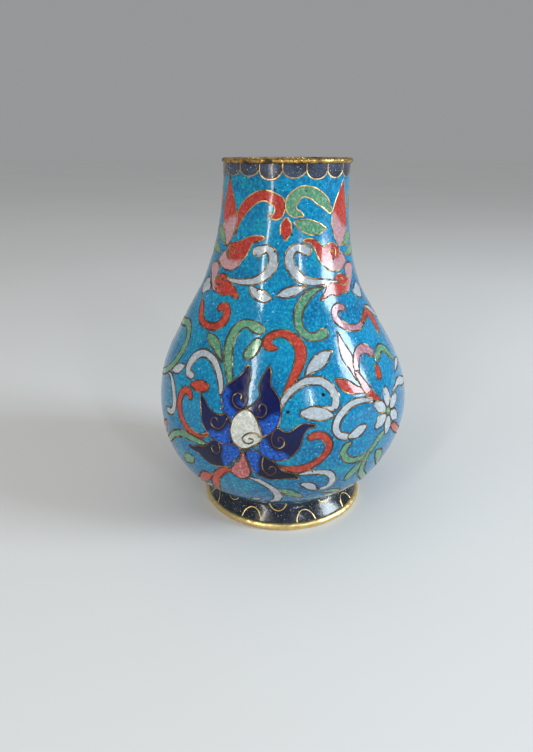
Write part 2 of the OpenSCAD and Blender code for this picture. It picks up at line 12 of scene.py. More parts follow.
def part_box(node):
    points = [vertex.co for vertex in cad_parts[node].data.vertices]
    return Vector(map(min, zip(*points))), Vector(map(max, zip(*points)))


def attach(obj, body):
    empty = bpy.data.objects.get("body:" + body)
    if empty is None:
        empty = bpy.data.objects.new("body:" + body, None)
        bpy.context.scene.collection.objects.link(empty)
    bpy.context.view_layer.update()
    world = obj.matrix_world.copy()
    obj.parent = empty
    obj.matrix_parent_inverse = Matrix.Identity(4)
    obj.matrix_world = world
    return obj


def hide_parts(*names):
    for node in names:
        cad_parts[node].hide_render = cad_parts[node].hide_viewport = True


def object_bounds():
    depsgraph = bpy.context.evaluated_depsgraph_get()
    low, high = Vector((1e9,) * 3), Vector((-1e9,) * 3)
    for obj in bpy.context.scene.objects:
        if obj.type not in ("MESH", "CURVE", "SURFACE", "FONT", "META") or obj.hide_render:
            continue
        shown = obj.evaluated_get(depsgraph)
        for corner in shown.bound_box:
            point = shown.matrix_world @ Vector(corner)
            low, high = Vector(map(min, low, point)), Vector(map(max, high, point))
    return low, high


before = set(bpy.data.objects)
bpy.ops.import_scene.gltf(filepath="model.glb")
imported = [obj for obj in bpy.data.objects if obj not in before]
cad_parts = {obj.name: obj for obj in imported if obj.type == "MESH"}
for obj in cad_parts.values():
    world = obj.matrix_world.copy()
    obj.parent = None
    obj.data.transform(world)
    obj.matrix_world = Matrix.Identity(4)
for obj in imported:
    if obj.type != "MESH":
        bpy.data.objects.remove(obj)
CAD_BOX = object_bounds()
MM = 0.001
random = np.random.default_rng(7)

# ---------------------------------------------------------------- sizes, in mm
LIP_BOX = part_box("lip_collar")
RIM_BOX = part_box("foot_rim")
WALL_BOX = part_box("turquoise_ground")
TOP_Z = CAD_BOX[1].z / MM
LIP_Z = LIP_BOX[0].z / MM
LIP_R = LIP_BOX[1].x / MM
RIM_Z = RIM_BOX[1].z / MM
RIM_R = RIM_BOX[1].x / MM
WAIST_Z = WALL_BOX[0].z / MM
WAIST_R = 18.6
# Outer profile of the body as (height, radius), from the foot to the lip
PROFILE = [
    (WAIST_Z, WAIST_R), (9, 22.9), (12, 26.3), (20, 30.95), (30, 32.75), (38, 31.6),
    (50, 25.8), (62, 19.2), (74, 16.05), (87, 15.05), (LIP_Z, 15.05),
]
# The vessel was raised by hand, so its middle wanders sideways: (height, shift)
LEAN = [(0, 0.35), (15, -0.47), (30, 0.09), (45, -0.34), (58, -0.62), (70, -0.11), (90, 0.78)]
# Waves in the polished enamel: (height, waves around, waves up, phase)
WAVES = [(0.05, 3, 0.03, 0.4), (0.035, 7, 0.06, 1.9), (0.016, 16, 0.13, 0.7), (0.007, 37, 0.31, 2.6)]
# How deep the cells are set, and the copper and the counter-enamel behind them
CELL_DEPTH = 0.45
COPPER_DEPTH = 0.4
COPPER_T = 1.2
LINING_T = 0.4
LIP_HOLE_R = 12.6
# Half of a wire's width, its height above the enamel, and how near a wire comes to one that crosses over it
WIRE_HALF = 0.135
WIRE_PROUD = 0.035
HIDDEN_NEAR = 0.27
# How far a bent wire strays sideways, and the share by which its width varies
WIRE_STRAY = 0.02
WIRE_VARIES = 0.14
# Room from the middle of a wire to the enamel: close fitting at the neck, looser on the belly
ROOM_HEIGHTS = [30, 60, 75]
ROOM = [0.215, 0.2, 0.17]
ROOM_SPREAD = 0.3
LOOSE_WIRE_ROOM = 0.9
# Spacing of the points along an outline and over the open ground
OUTLINE_STEP = 0.33
GRID_STEP = 0.85
GRID_CLEAR = 0.36
# Radius at which turns are laid flat, and how far the repeated half turn reaches to either side
REF_R = 25.0
HALF_TURN = 90.0
# Zones of the pattern, by arc length
NECK_FROM = 61
SHOULDER_FROM = 41.7
# The lappets: degrees from one to the next, half of one's width as a share of that, and the share of its
# drop that is straight
LAPPET_PITCH = 20
LAPPET_HALF = 0.487
LAPPET_STRAIGHT = 0.38
# Drop of each scallop below the lip, from the one at -74 degrees on
LAPPET_DROPS = [3.0, 2.6, 2.6, 3.3, 2.9, 3.2, 3.0, 2.9, 2.8]
LAPPET_FIRST = -74
# The foot: its coats, the cloud arches that stand on the rim and the ones that hang from the body
FOOT_ENAMEL_T = 0.6
FOOT_COPPER_T = 0.8
ARCHES = 9
ARCH_R = 2.5
ARCH_TURN = -22
ARCH_RISE = 1.05
HUNG_R = 2.3
HUNG_TURN = -2
HUNG_DROP = 0.85
# Their wire: half its width, and the heights of its shoulder and its crest over the enamel
ARCH_WIRE_HALF = 0.15
ARCH_WIRE_SHOULDER = 0.03
ARCH_WIRE_PROUD = 0.075
ARCH_WIRE_DEPTH = 0.4
# The gilt edges: how far each bulges, how wide the foot's is, and the size of the dents in them
LIP_BULGE = 0.6
LIP_DENTS = 0.028
RIM_BULGE = 1.05
RIM_W = 2.0
RIM_DENTS = 0.02

# ---------------------------------------------------------------- the pattern
# V is a scroll or leaf: (turn in degrees, arc length from the foot in mm, half width in mm).
# P is a cell's outline and W a loose wire, both (turn, arc length). Later ones lie over earlier ones.
MOTIFS = [
    ("V", "red", (-42.6, 76, .15), (-42.4, 77.8, .35), (-41.4, 79.6, .75), (-39, 81.2, 1.15),
     (-35, 82.6, 1.25), (-30, 83.8, 1.2), (-25, 84.6, 1.15), (-20, 85, 1.15), (-15, 84.9, 1.15),
     (-10.4, 84.4, 1.2), (-6, 83.7, 1.3), (-4.1, 82.2, 1.1), (-6.2, 80.9, .95), (-9.8, 80.6, .5),
     (-12.3, 81, .2)),
    ("V", "red", (1.5, 80.1, .4), (1.5, 79.3, 1), (1.6, 78.1, 1.25), (1.6, 76.9, 1.1), (1.6, 76, .45)),
    ("V", "green", (41, 81.6, .6), (35, 83.4, 1.2), (30, 84.3, 1.35), (25, 85.2, 1.25), (20, 85.7, 1.2),
     (15, 85.9, 1.15), (10, 85.4, 1.15), (5.8, 84.1, 1.3), (4.8, 82.5, 1.15), (8, 81.4, .95),
     (12.5, 81.1, .55), (14.5, 80.8, .25)),
    ("V", "green", (9.5, 79.3, .4), (13, 79, 1.05), (19, 78.5, 1.5), (25, 78, 1.5), (31, 77.8, 1.05),
     (35.5, 77.8, .3)),
    ("P", "red", (-45, 80.6), (-46.5, 82.2), (-50, 84.3), (-54.5, 86.5), (-58, 88.7), (-60, 88),
     (-63, 85.6), (-66, 82.8), (-67.5, 80.2), (-63, 78.8), (-57, 79.2), (-50, 80)),
    ("P", "pink", (-45, 80.4), (-50, 80), (-57, 79.2), (-63, 78.8), (-65.5, 78), (-62, 76.2), (-57, 74.6),
     (-51.5, 73.5), (-48, 74.8), (-45.3, 77)),
    ("P", "red", (44.2, 81), (46, 82.6), (50, 84.6), (55, 86.6), (59, 88.2), (61, 87.2), (65, 84.4),
     (68, 81.6), (69, 79), (66, 76.8), (60, 77.8), (52, 79.8)),
    ("P", "pink", (43.4, 79.8), (44.2, 81), (52, 79.8), (60, 77.8), (66, 76.8), (62.5, 75), (57, 73.8),
     (52, 73.6), (47.5, 75), (44, 77.4)),
    ("V", "green", (-54, 73.6, .15), (-60, 75.2, 1), (-66, 76.2, 1.3), (-75, 76.5, .6)),
    ("V", "green", (57, 73.6, .15), (62, 74.4, 1), (68, 75, 1.3), (77, 75.3, .6)),
    ("V", "green", (-60, 71.6, .15), (-67, 72.3, 1), (-76, 72.6, 1.1), (-85, 72, .4)),
    ("V", "green", (60, 71.4, .15), (67, 71.8, 1), (76, 72, 1.1), (85, 71.5, .4)),
    # lotus seen from its side, on the left of the neck
    ("P", "red", (-15, 75.9), (-18, 76.4), (-24, 76.4), (-30, 75.9), (-36, 75.1), (-42, 74.6), (-47, 74.2),
     (-50, 73), (-48.5, 71.5), (-44, 70.6), (-38, 70.1), (-33, 70.6), (-29.5, 71.7), (-27, 73.3),
     (-24.5, 74.7), (-20, 75.2)),
    ("W", "gold", (-44, 70.6), (-47, 72), (-46, 73.3), (-42.5, 73.3), (-41, 72.3), (-43, 71.8)),
    ("P", "pink", (-60, 70), (-56, 71.5), (-52.5, 72.4), (-49, 71.2), (-44, 70.6), (-38, 70.1), (-33, 70.6),
     (-35, 69.2), (-40, 68.3), (-46, 68.1), (-52, 68.5), (-57, 69.3)),
    ("P", "pink", (-71, 68), (-64, 69.3), (-58, 69), (-55, 67.8), (-55.5, 66.5), (-56, 65.2), (-53, 63.9),
     (-48, 62.8), (-54, 62.7), (-59, 64), (-65, 66)),
    ("P", "red", (-28.3, 62.2), (-32, 64.1), (-36, 65.1), (-40, 65.8), (-44, 66.9), (-49, 67.1),
     (-53.5, 66.4), (-55, 65), (-53, 63.6), (-48, 62.7), (-42, 62.2), (-36, 62.7), (-32, 62.2)),
    ("W", "gold", (-55, 65), (-51, 64.3), (-47, 64.7), (-46.5, 65.6), (-49.5, 66), (-51.5, 65.4)),
    ("V", "white", (-73, 63, .7), (-70, 63, 1.9), (-66, 63.1, 2.1), (-62, 63, 1.1)),
    # and on the right
    ("P", "red", (15.5, 75.5), (20, 75.9), (26, 75.5), (30, 74.7), (33.5, 73.8), (37, 74.2), (41, 74.6),
     (46, 74.2), (50, 73.2), (51.5, 72), (48, 71.2), (42, 70.6), (38, 70.1), (33, 69.8), (30, 70.5),
     (27.5, 72), (25, 73.6), (21, 74.9), (17, 75.1)),
    ("W", "gold", (42, 70.6), (46, 71.8), (45.5, 73.2), (42, 73.3), (40.5, 72.4), (42.5, 72)),
    ("P", "pink", (60, 70), (56.5, 71.4), (53.5, 72.2), (51.5, 72), (48, 71.2), (42, 70.6), (38, 70.1),
     (33, 69.8), (36, 68.8), (41, 68.1), (47, 68), (52, 68.4), (57, 69.2)),
    ("P", "pink", (71, 68), (64, 69.3), (58, 69), (55, 67.8), (56, 66.5), (57, 65.2), (53, 63.9),
     (48, 62.8), (54, 62.6), (59, 63.8), (65, 65.8)),
    ("P", "red", (27, 61.8), (31, 63.6), (35, 65.2), (40, 66), (44, 67), (49, 67.3), (54, 66.5), (57, 65.2),
     (53, 63.7), (48, 62.8), (42, 62.3), (36, 62.8), (31, 62.2)),
    ("W", "gold", (57, 65.2), (51, 64.4), (47, 64.8), (46.5, 65.8), (49.5, 66.3), (51.5, 65.6)),
    ("V", "white", (75, 62, .7), (72, 62, 1.8), (68, 62, 2), (63, 62, 1)),
    # scrolls below the neck
    ("V", "white", (-42, 66.2, .35), (-35, 66, .5), (-28, 66, .65), (-20, 66.4, .85), (-14, 67.3, 1),
     (-9, 68.8, 1.05), (-6.7, 70.8, 1.05), (-8.2, 72.8, 1), (-12.5, 73.7, .8), (-17, 73.3, 1.05),
     (-19.5, 73.1, 1.15)),
    ("V", "white", (-20.5, 64.9, .5), (-17, 63.9, 1.05), (-12.5, 63.2, 1.25), (-9, 62.8, 1),
     (-6.6, 62.8, .45)),
    ("V", "white", (44, 65.6, .3), (36, 65.9, .45), (28, 66.1, .7), (21, 66.3, .85), (15, 67, 1),
     (9.5, 68.6, 1.05), (5.4, 70.7, 1), (5.6, 72.6, 1), (9.5, 73.9, .85), (14.5, 73.8, 1),
     (18.7, 73.3, 1.15)),
    ("V", "white", (-2.5, 63.4, .15), (2, 63.8, .95), (7, 64.3, 1.15), (12, 64.7, .9), (17.5, 65.2, .2)),
    ("V", "green", (31, 64.7, .15), (25, 64.4, .55), (20, 63.7, .9), (15.5, 62.2, 1.05), (11.8, 60, 1),
     (10.6, 57.8, .95), (12, 55.4, .95), (15.5, 54, .95), (20, 53.7, 1), (24.3, 54.3, 1.2)),
    ("V", "red", (-63, 59.8, .5), (-58, 57.6, .95), (-53.5, 55.6, .9), (-48.5, 54.7, .85), (-43, 54.5, .85),
     (-38, 55, .95), (-34.3, 56.5, 1.1), (-33.8, 58.5, 1.05), (-36.5, 59.8, 1), (-40.3, 59.4, .95)),
    ("V", "pink", (43, 59.4, .85), (39, 59.7, .95), (35.6, 59, .9), (34.8, 57.5, .9), (37, 56, .95),
     (41, 54.8, .9), (46, 54.1, .85), (51, 54.1, .75), (56, 54.8, .65)),
    ("V", "red", (56, 54.9, .6), (61, 55.8, .8), (66, 56.4, .9), (69.5, 55.2, 1.4), (70.5, 52.8, 1.6),
     (69, 50.6, .6)),
    ("V", "white", (68, 57.8, .2), (74, 56.6, .8), (80, 54.6, .9), (86, 53, .5)),
    ("V", "green", (-84, 51.5, 1), (-76, 52, 1), (-67, 52.8, 1), (-62, 52, 1), (-58.8, 50, 1),
     (-58.3, 47.3, 1.05), (-60.3, 44.2, 1.1), (-64, 41.3, 1), (-69.5, 39.2, .9), (-76, 37.7, .8),
     (-83, 36.5, .4)),
    ("V", "green", (-42, 52.6, .4), (-38.5, 51.8, 1.2), (-35, 50.8, 1.25), (-32, 49.2, .8),
     (-28.8, 47.3, .2)),
    ("V", "green", (-22.2, 42.8, .7), (-24.3, 46, .9), (-26.3, 49.5, 1.1), (-26.6, 52.3, 1.1),
     (-25, 54.8, 1.05), (-22, 56.3, 1), (-18, 56.7, .95), (-13.5, 56, 1.25), (-11, 55.6, 1.15)),
    ("V", "green", (-11.3, 52.6, 1), (-13.5, 51, 1.3), (-15.5, 49.7, 1.2)),
    ("V", "white", (-26, 40.3, .5), (-27, 42.5, .75), (-29.5, 45, .85), (-33, 46.9, .9), (-37.5, 48, .9),
     (-42, 48, 1), (-46, 46.7, 1.15), (-48.2, 44.4, 1.1), (-47, 42.5, .95), (-44.2, 42.2, .95)),
    ("V", "white", (-60.3, 41, .55), (-58.5, 41.5, 1), (-56, 42.1, 1.25), (-53.5, 42.9, 1),
     (-52, 43.4, .5)),
    ("V", "red", (-42.3, 40.3, .6), (-40, 40.4, 1.15), (-36.5, 40.6, 1.4), (-34.2, 40.7, 1)),
    ("V", "red", (-31.3, 29.9, .35), (-35, 28.7, .6), (-40, 28.8, .8), (-44, 29.7, .95), (-47.3, 31.8, 1),
     (-48.9, 34.5, .95), (-48.2, 37, .95), (-45.5, 38.5, .9), (-43, 38.2, .9), (-42, 37.4, .85)),
    ("V", "white", (-65, 39.5, .3), (-60.5, 39.4, .6), (-56.5, 37.8, .9), (-53.7, 35.3, 1),
     (-53.2, 33, .95), (-55.5, 31.2, .85), (-60, 30.6, .85)),
    ("V", "green", (-31.5, 27.2, .2), (-35, 27.1, .75), (-40, 27.2, .9), (-45, 27.2, .9), (-50, 26.5, .9),
     (-55, 25, .9), (-60, 22.8, .9), (-66, 20.5, .8), (-73, 18.5, .4)),
    ("V", "red", (-62.5, 27, .3), (-66, 25, 1.2), (-70, 23, 1.2), (-75, 21.5, .4)),
    ("V", "green", (-50, 17.8, .3), (-47, 19.3, 1.3), (-44, 20.5, 1.5), (-41.5, 21.3, .6)),
    # around the middle
    ("V", "red", (-1.3, 51.5, .25), (-4, 51.6, .85), (-6.6, 52.4, 1.05), (-5.6, 53.7, .95),
     (-2.5, 54.6, .8), (2, 54.8, .9), (6.5, 53.9, 1.1), (9.8, 52, 1.3), (10.3, 50, 1.3), (8.5, 47.5, 1.1),
     (6, 45.2, .9), (3.5, 43, .7), (1.5, 41.7, .25)),
    ("V", "white", (11.3, 45.3, .2), (15, 46.9, 1.2), (19, 48.2, 1.6), (23, 49.4, 1.1), (26.3, 50, .2)),
    ("V", "white", (-1.5, 37.6, .35), (2, 40.6, .75), (6, 42.6, .8), (10, 43.8, .85), (14, 44, .95),
     (18, 43.7, 1), (21.5, 42.2, 1), (23.4, 40, .95), (22.6, 38, .95), (20.8, 37.4, .7), (19.2, 37.6, .6)),
    ("V", "white", (9, 37, .85), (10.7, 36.9, 1.3), (13.5, 36.8, 1.6), (16.5, 36.5, 1.5), (19.3, 36.1, .95),
     (20.6, 35.9, .5)),
    ("V", "pink", (33, 54, .15), (33.4, 51, .9), (34.3, 48.3, 1.5), (35.8, 45.5, 1.1), (36.8, 43.2, .9)),
    ("V", "pink", (37.3, 43.3, .6), (38.2, 46, .8), (40.5, 47.8, .95), (44, 48.9, 1.1), (48, 48.8, 1.2),
     (51, 47.6, 1.2)),
    ("V", "red", (25.2, 43.7, .3), (28, 42.4, 1.25), (31, 41.3, 1.4), (34.5, 40.4, .9), (37.5, 39.9, .6)),
    ("V", "red", (36.8, 44, .6), (38.3, 42, .9), (40, 39.8, 1.1), (42.5, 37.9, 1.1), (46, 36.8, .4)),
    ("V", "green", (53, 45.2, .4), (56, 46.2, 1), (60, 47.2, 1), (64, 46.9, 1), (68, 45.2, 1.2),
     (71, 43, .8)),
    ("V", "red", (51.3, 43.6, .9), (50.2, 41.9, 1.1)),
    ("V", "white", (57.5, 36.7, .3), (62, 37.2, .6), (66, 37.5, 1), (70, 36.9, 1.2), (75, 36, 1),
     (81, 35, .7)),
    ("V", "white", (66, 40.2, .2), (70, 40.9, .7), (75, 41.3, .9), (81, 41, .3)),
    ("V", "white", (41, 37.2, .5), (36, 37.8, .7), (30.5, 37.6, .8), (26, 36.3, .9), (23, 34.6, .95),
     (22, 32.6, .95), (23.5, 31, .85), (26.5, 30.4, .85)),
    ("V", "white", (28.6, 30.1, .7), (31, 30.5, 1.2), (33.6, 31.1, 1.25), (35.4, 31.5, .8)),
    ("V", "green", (28.6, 28.4, .5), (26.6, 27.7, .85), (26, 26, .9), (28, 24.3, .9), (31.5, 23.2, .9),
     (35.5, 23, .9), (39, 23.5, .9), (42, 24.9, .9), (45, 27, .95), (48.5, 28.2, .6)),
    ("V", "green", (39.8, 23.5, .7), (39.2, 20.5, .9), (40.7, 17.5, .95), (45, 14.8, 1), (51, 12, .9),
     (57, 9.5, .6)),
    ("V", "green", (37.7, 21.8, .3), (35.5, 20, 1.3), (33.5, 18.3, 1.4), (31.3, 16.8, .4)),
    ("V", "green", (45.5, 23.2, .3), (48, 22, 1.2), (51, 20.2, 1.3), (54, 17.8, 1), (58, 15.3, .3)),
    ("V", "red", (53.5, 28.8, .4), (57, 27.6, 1), (61, 26, 1), (66, 24.3, .9), (73, 22, .6)),
    ("V", "red", (11.4, 31.4, .8), (13.5, 31.8, .9), (16.5, 31.4, .95), (18.8, 29.8, .95),
     (18.7, 27.9, .95), (16.5, 26, .9), (13, 24.4, .95), (9.5, 23.5, 1.05), (5.5, 23.3, 1), (2, 23.6, .6),
     (-.5, 24.2, .3)),
    ("V", "white", (8, 21.6, .35), (12, 21.9, .65), (16.5, 21.7, .75), (20.5, 21, .85), (23.2, 19.3, .9),
     (24.2, 17.3, .95), (22.7, 15.6, .9), (20.2, 15.3, .75)),
    ("V", "white", (10.6, 18, .75), (12.5, 17.5, 1.1), (14.8, 16.5, 1.15), (16.8, 15.4, .6)),
    ("V", "white", (-13, 20, .35), (-9, 19.2, .6), (-5, 17.6, .8), (-1.7, 15.4, .95), (-.3, 13, 1.05),
     (-1.2, 10.7, 1), (-3.8, 9.3, .6)),
    ("V", "white", (-15, 9.3, .2), (-12.3, 10.1, .9), (-9.5, 10.7, .3)),
    ("V", "green", (.6, 16, .2), (4, 15, 1.2), (7.5, 13.8, 1), (11.2, 12.2, .2)),
    ("V", "green", (22, 13, .3), (26, 13, .9), (30, 12, .8), (34, 10.5, .3)),
    ("V", "white", (31, 8.5, .3), (36, 10.2, .9), (41, 10.8, 1), (46, 9.5, .8), (51, 7.8, .3)),
    ("V", "red", (-20.8, 21.4, .5), (-24, 21, .9), (-27.5, 19.2, 1.05), (-30.3, 16.8, 1.15),
     (-32, 14, 1.15), (-33.5, 11, .7)),
    ("V", "red", (-31.9, 17.7, .3), (-34.5, 17, 1.2), (-37.5, 15.6, 1.4), (-41.5, 13.4, 1.1),
     (-46, 11.6, .9), (-51, 10.2, .5)),
    ("V", "white", (-45.5, 8.6, .2), (-40.5, 10.6, .9), (-36, 12.5, .2)),
]
# Petals of the lotus and the wire spirals in them
LOTUS = [
    ("P", "lapis", (-15, 47.4), (-17.5, 45.3), (-21.5, 43.2), (-24.3, 41.9), (-25.4, 40), (-24.8, 37.5),
     (-23.5, 35.8), (-20.5, 34.2), (-18, 36.3), (-15.3, 37.4), (-14.3, 38.4), (-13.6, 40), (-14, 42),
     (-13.4, 44.5), (-13.8, 46.6)),
    ("P", "lapis", (-5, 47.4), (-6.5, 46.2), (-8.6, 44), (-9, 42.2), (-8.6, 40.7), (-11, 39.1), (-13, 38.2),
     (-15.3, 37.4), (-12.5, 37.2), (-10, 35.8), (-8.4, 33.5), (-7.7, 31.3), (-6, 32), (-3.5, 32.8),
     (-1.5, 34), (-.3, 36), (0, 38.5), (-.6, 40.3), (-2.2, 41.8), (-3.9, 43), (-4.2, 44.8), (-4.2, 46.5)),
    ("P", "lapis", (-36, 38.8), (-33.5, 37.8), (-31, 36.2), (-28, 35.4), (-25, 35.3), (-23.5, 35.8),
     (-20.5, 34.2), (-20.7, 32), (-20, 30), (-20.8, 28.9), (-24, 28.4), (-28, 28.9), (-31.5, 30.3),
     (-33.8, 32), (-34.8, 34.5), (-35.7, 36.5)),
    ("P", "lapis", (-43, 24.6), (-38, 25.5), (-34, 26.1), (-32, 26.9), (-30, 28.1), (-27.8, 28.8),
     (-24, 28.4), (-20.8, 28.9), (-17.5, 28.4), (-16.2, 27.2), (-17.3, 25.8), (-20, 24), (-23, 22.3),
     (-26, 21.8), (-29, 21.5), (-33, 22.2), (-37, 23.6)),
    ("P", "lapis", (13.8, 34), (9, 34.7), (6, 34), (3.5, 33), (1, 33), (-1.5, 33.8), (-3.5, 32.8), (-6, 32),
     (-7.7, 31.3), (-8.9, 29.8), (-9, 28.4), (-7.5, 27), (-5, 26.1), (-2, 25.8), (1, 26), (4, 27),
     (6.5, 28.8), (7.6, 30.3), (8.7, 32.2), (10.2, 33.3)),
    ("P", "lapis", (8.3, 19.9), (6.5, 21.5), (4, 22.3), (1, 22.8), (-1, 24.2), (-3, 25.5), (-5, 26.1),
     (-7.5, 27), (-9.5, 27.9), (-12, 28.2), (-14.4, 27.5), (-13.5, 25.5), (-12.5, 23.8), (-11, 22.3),
     (-8.5, 21), (-5.5, 20.2), (-2, 19.9), (2, 20.4), (5, 20.4)),
    ("W", "lapis", (-15.3, 37.4), (-17.8, 37.6), (-20, 38.7), (-20.1, 40.1), (-18.2, 40.9), (-16.5, 40.5),
     (-16.8, 39.6)),
    ("W", "lapis", (-10.5, 36.2), (-7.5, 36.1), (-6, 37.1), (-6.2, 38.6), (-7.8, 39), (-8.9, 38.1),
     (-8.3, 37.3)),
    ("W", "lapis", (-22.2, 34.9), (-23.8, 33), (-26.5, 31.9), (-29.3, 32.5), (-29.5, 33.8), (-27.5, 34.4),
     (-26.3, 33.7)),
    ("W", "lapis", (-26, 28.5), (-25.6, 26.6), (-27.2, 25.4), (-29.2, 25.9), (-29.3, 27.1), (-28, 27.3)),
    ("W", "lapis", (-3.3, 32.8), (-4, 31), (-3, 29.5), (-.7, 29), (1, 30), (.4, 31.5), (-1.2, 31.6),
     (-1.2, 30.7)),
    ("W", "lapis", (-7, 26.7), (-7.5, 24.2), (-6.3, 22.3), (-4, 21.4), (-2, 22.2), (-2.3, 23.8), (-4, 24),
     (-4.6, 23.2)),
    ("P", "heart", (-15.3, 37.4), (-18, 36.3), (-20.2, 34.3), (-20.8, 32), (-20, 29.9), (-18.3, 28.9),
     (-16, 28.1), (-14.2, 28.2), (-11.5, 29), (-9, 30), (-7.7, 31.3), (-8.4, 33.5), (-10, 35.8),
     (-12.5, 37.2)),
    ("W", "heart", (-7.7, 31.3), (-10.5, 32.3), (-13.5, 32), (-15.6, 30.7), (-14.3, 29.7), (-11.6, 30),
     (-11.2, 30.7), (-13, 30.9)),
    ("P", "calyx", (-15.4, 27.9), (-14.3, 25.8), (-13, 23.6), (-12.2, 22), (-12.8, 20.4), (-15, 19.4),
     (-17.5, 19.3), (-20, 20.3), (-21, 21.8), (-19.5, 23.3), (-17.3, 24.7), (-16.2, 26.3)),
]
# The strip between the two faces of the vase
SIDES = [
    ("V", "red", (90, 80.1, .5), (90, 78.2, 1.2), (90, 76.6, .9)),
    ("V", "green", (71, 82, .2), (77, 84.4, 1), (83, 85.3, 1.1), (88, 83.9, 1.2), (87.2, 82, 1),
     (83, 81.4, .5)),
    ("V", "red", (109, 82, .2), (103, 84.4, 1), (97, 85.3, 1.1), (92, 83.9, 1.2), (92.8, 82, 1),
     (97, 81.4, .5)),
    ("V", "white", (84, 63.6, .2), (87, 65, .9), (90, 66.3, 1.1), (93, 67.8, .8), (96, 69.4, .2)),
    ("V", "pink", (90, 60.6, .2), (90, 58, 1.2), (90, 55.6, 1.4), (90, 53.4, .3)),
    ("V", "red", (90, 49.8, .2), (91, 47, 1.1), (91.5, 44.6, 1.3), (90.5, 42.4, .5)),
    ("V", "green", (84, 30.6, .3), (87.5, 33.2, .9), (91.5, 34.2, 1), (94.5, 32.6, 1), (93.6, 30.4, .9),
     (91, 30.2, .6)),
    ("V", "red", (82, 27.2, .3), (86, 28.4, .8), (91, 28, .9), (95.5, 25.6, 1), (96.5, 22.8, 1),
     (94, 21, .9), (91.6, 21.8, .7)),
    ("V", "white", (80, 20.5, .3), (84, 22.6, .8), (88, 22.4, .9), (90, 20.4, .9), (88.4, 18.4, .8),
     (86, 18.6, .6)),
    ("V", "green", (74, 17.4, .2), (78, 15.6, .9), (83, 14.6, 1.1), (88, 14.6, .9), (93, 15.8, .2)),
    ("V", "white", (62, 13, .2), (67, 11.6, .9), (72, 10.6, 1), (78, 10.4, .8), (83, 11.2, .2)),
]
FLOWER_AT = (51.2, 32.8)
PETAL = [(1.0, .4), (2.4, 1.25), (3.9, 1.5), (5.0, 1.0)]
EYE_R = 1.1
# Large pinholes where a bubble burst in firing: (turn, arc length, radius)
PITS = [(18, 40.7, .45), (2.7, 37.4, .4), (-15, 47, .3), (-9.5, 86.3, .3), (6.5, 78.5, .3), (6.3, 76.8, .25)]
# Small ones: how many are tried, how far they scatter from a wire in degrees and mm, and their radii
SMALL_PITS = 340
PIT_SCATTER_TURN = 0.35
PIT_SCATTER = 0.2
PIT_SMALLEST = 0.1
PIT_LARGEST = 0.24


# ---------------------------------------------------------------- the vessel's surface
def hermite(points, steps):
    """A smooth curve through points, with each span's end slopes taken from its neighbours."""
    p = np.array(points, float)
    p = np.vstack([2 * p[0] - p[1], p, 2 * p[-1] - p[-2]])
    t = (np.arange(steps) / steps)[:, None]
    spans = []
    for a, b, c, d in zip(p[:-3], p[1:-2], p[2:-1], p[3:]):
        before, width, after = [np.linalg.norm(v) for v in (b - a, c - b, d - c)]
        m1 = ((b - a) / before * width + (c - b) / width * before) / (before + width) * width
        m2 = ((c - b) / width * after + (d - c) / after * width) / (width + after) * width
        spans.append((2 * t**3 - 3 * t**2 + 1) * b + (t**3 - 2 * t**2 + t) * m1
                     + (3 * t**2 - 2 * t**3) * c + (t**3 - t**2) * m2)
    return np.vstack(spans + [p[-2][None]])


BODY_CURVE = hermite(PROFILE, 24)
ARC = np.concatenate([[0], np.cumsum(np.linalg.norm(np.diff(BODY_CURVE, axis=0), axis=1))])
ARC_END = ARC[-1]
LEAN_CURVE = hermite(LEAN, 12)
# Steps over which the surface's slope is measured, in degrees and in mm
SLOPE_TURN = 0.4
SLOPE_ARC = 0.35


def body_z(s):
    """Height at an arc length."""
    return np.interp(s, ARC, BODY_CURVE[:, 0])


def body_r(s):
    """Radius at an arc length."""
    return np.interp(s, ARC, BODY_CURVE[:, 1])


def lean(z):
    """Sideways shift of the vessel's middle at a height."""
    return np.interp(z, LEAN_CURVE[:, 0], LEAN_CURVE[:, 1])


def waves(turn, s):
    """Height of the polish waves in the enamel."""
    angle = np.radians(turn)
    return sum(h * np.sin(n * angle + phase) * np.cos(k * s * 2 + phase) for h, n, k, phase in WAVES)


def surface_point(turn, s):
    z = body_z(s)
    r = body_r(s) + waves(turn, s)
    angle = np.radians(turn)
    return np.stack([r * np.sin(angle) + lean(z), -r * np.cos(angle), z], -1)


def skin(turn, s, up=0.0):
    """Points at a height above the vessel's outer surface, and the surface's normals there."""
    turn = np.asarray(turn, float)
    s = np.asarray(s, float)
    across = surface_point(turn + SLOPE_TURN, s) - surface_point(turn - SLOPE_TURN, s)
    above, below = np.minimum(s + SLOPE_ARC, ARC_END), np.maximum(s - SLOPE_ARC, 0)
    along = surface_point(turn, above) - surface_point(turn, below)
    normal = np.cross(across, along)
    normal /= np.linalg.norm(normal, axis=-1, keepdims=True)
    return surface_point(turn, s) + np.asarray(up)[..., None] * normal, normal


def width_of_degree(s):
    """Width of one degree of turn in mm."""
    return np.radians(1) * body_r(s)


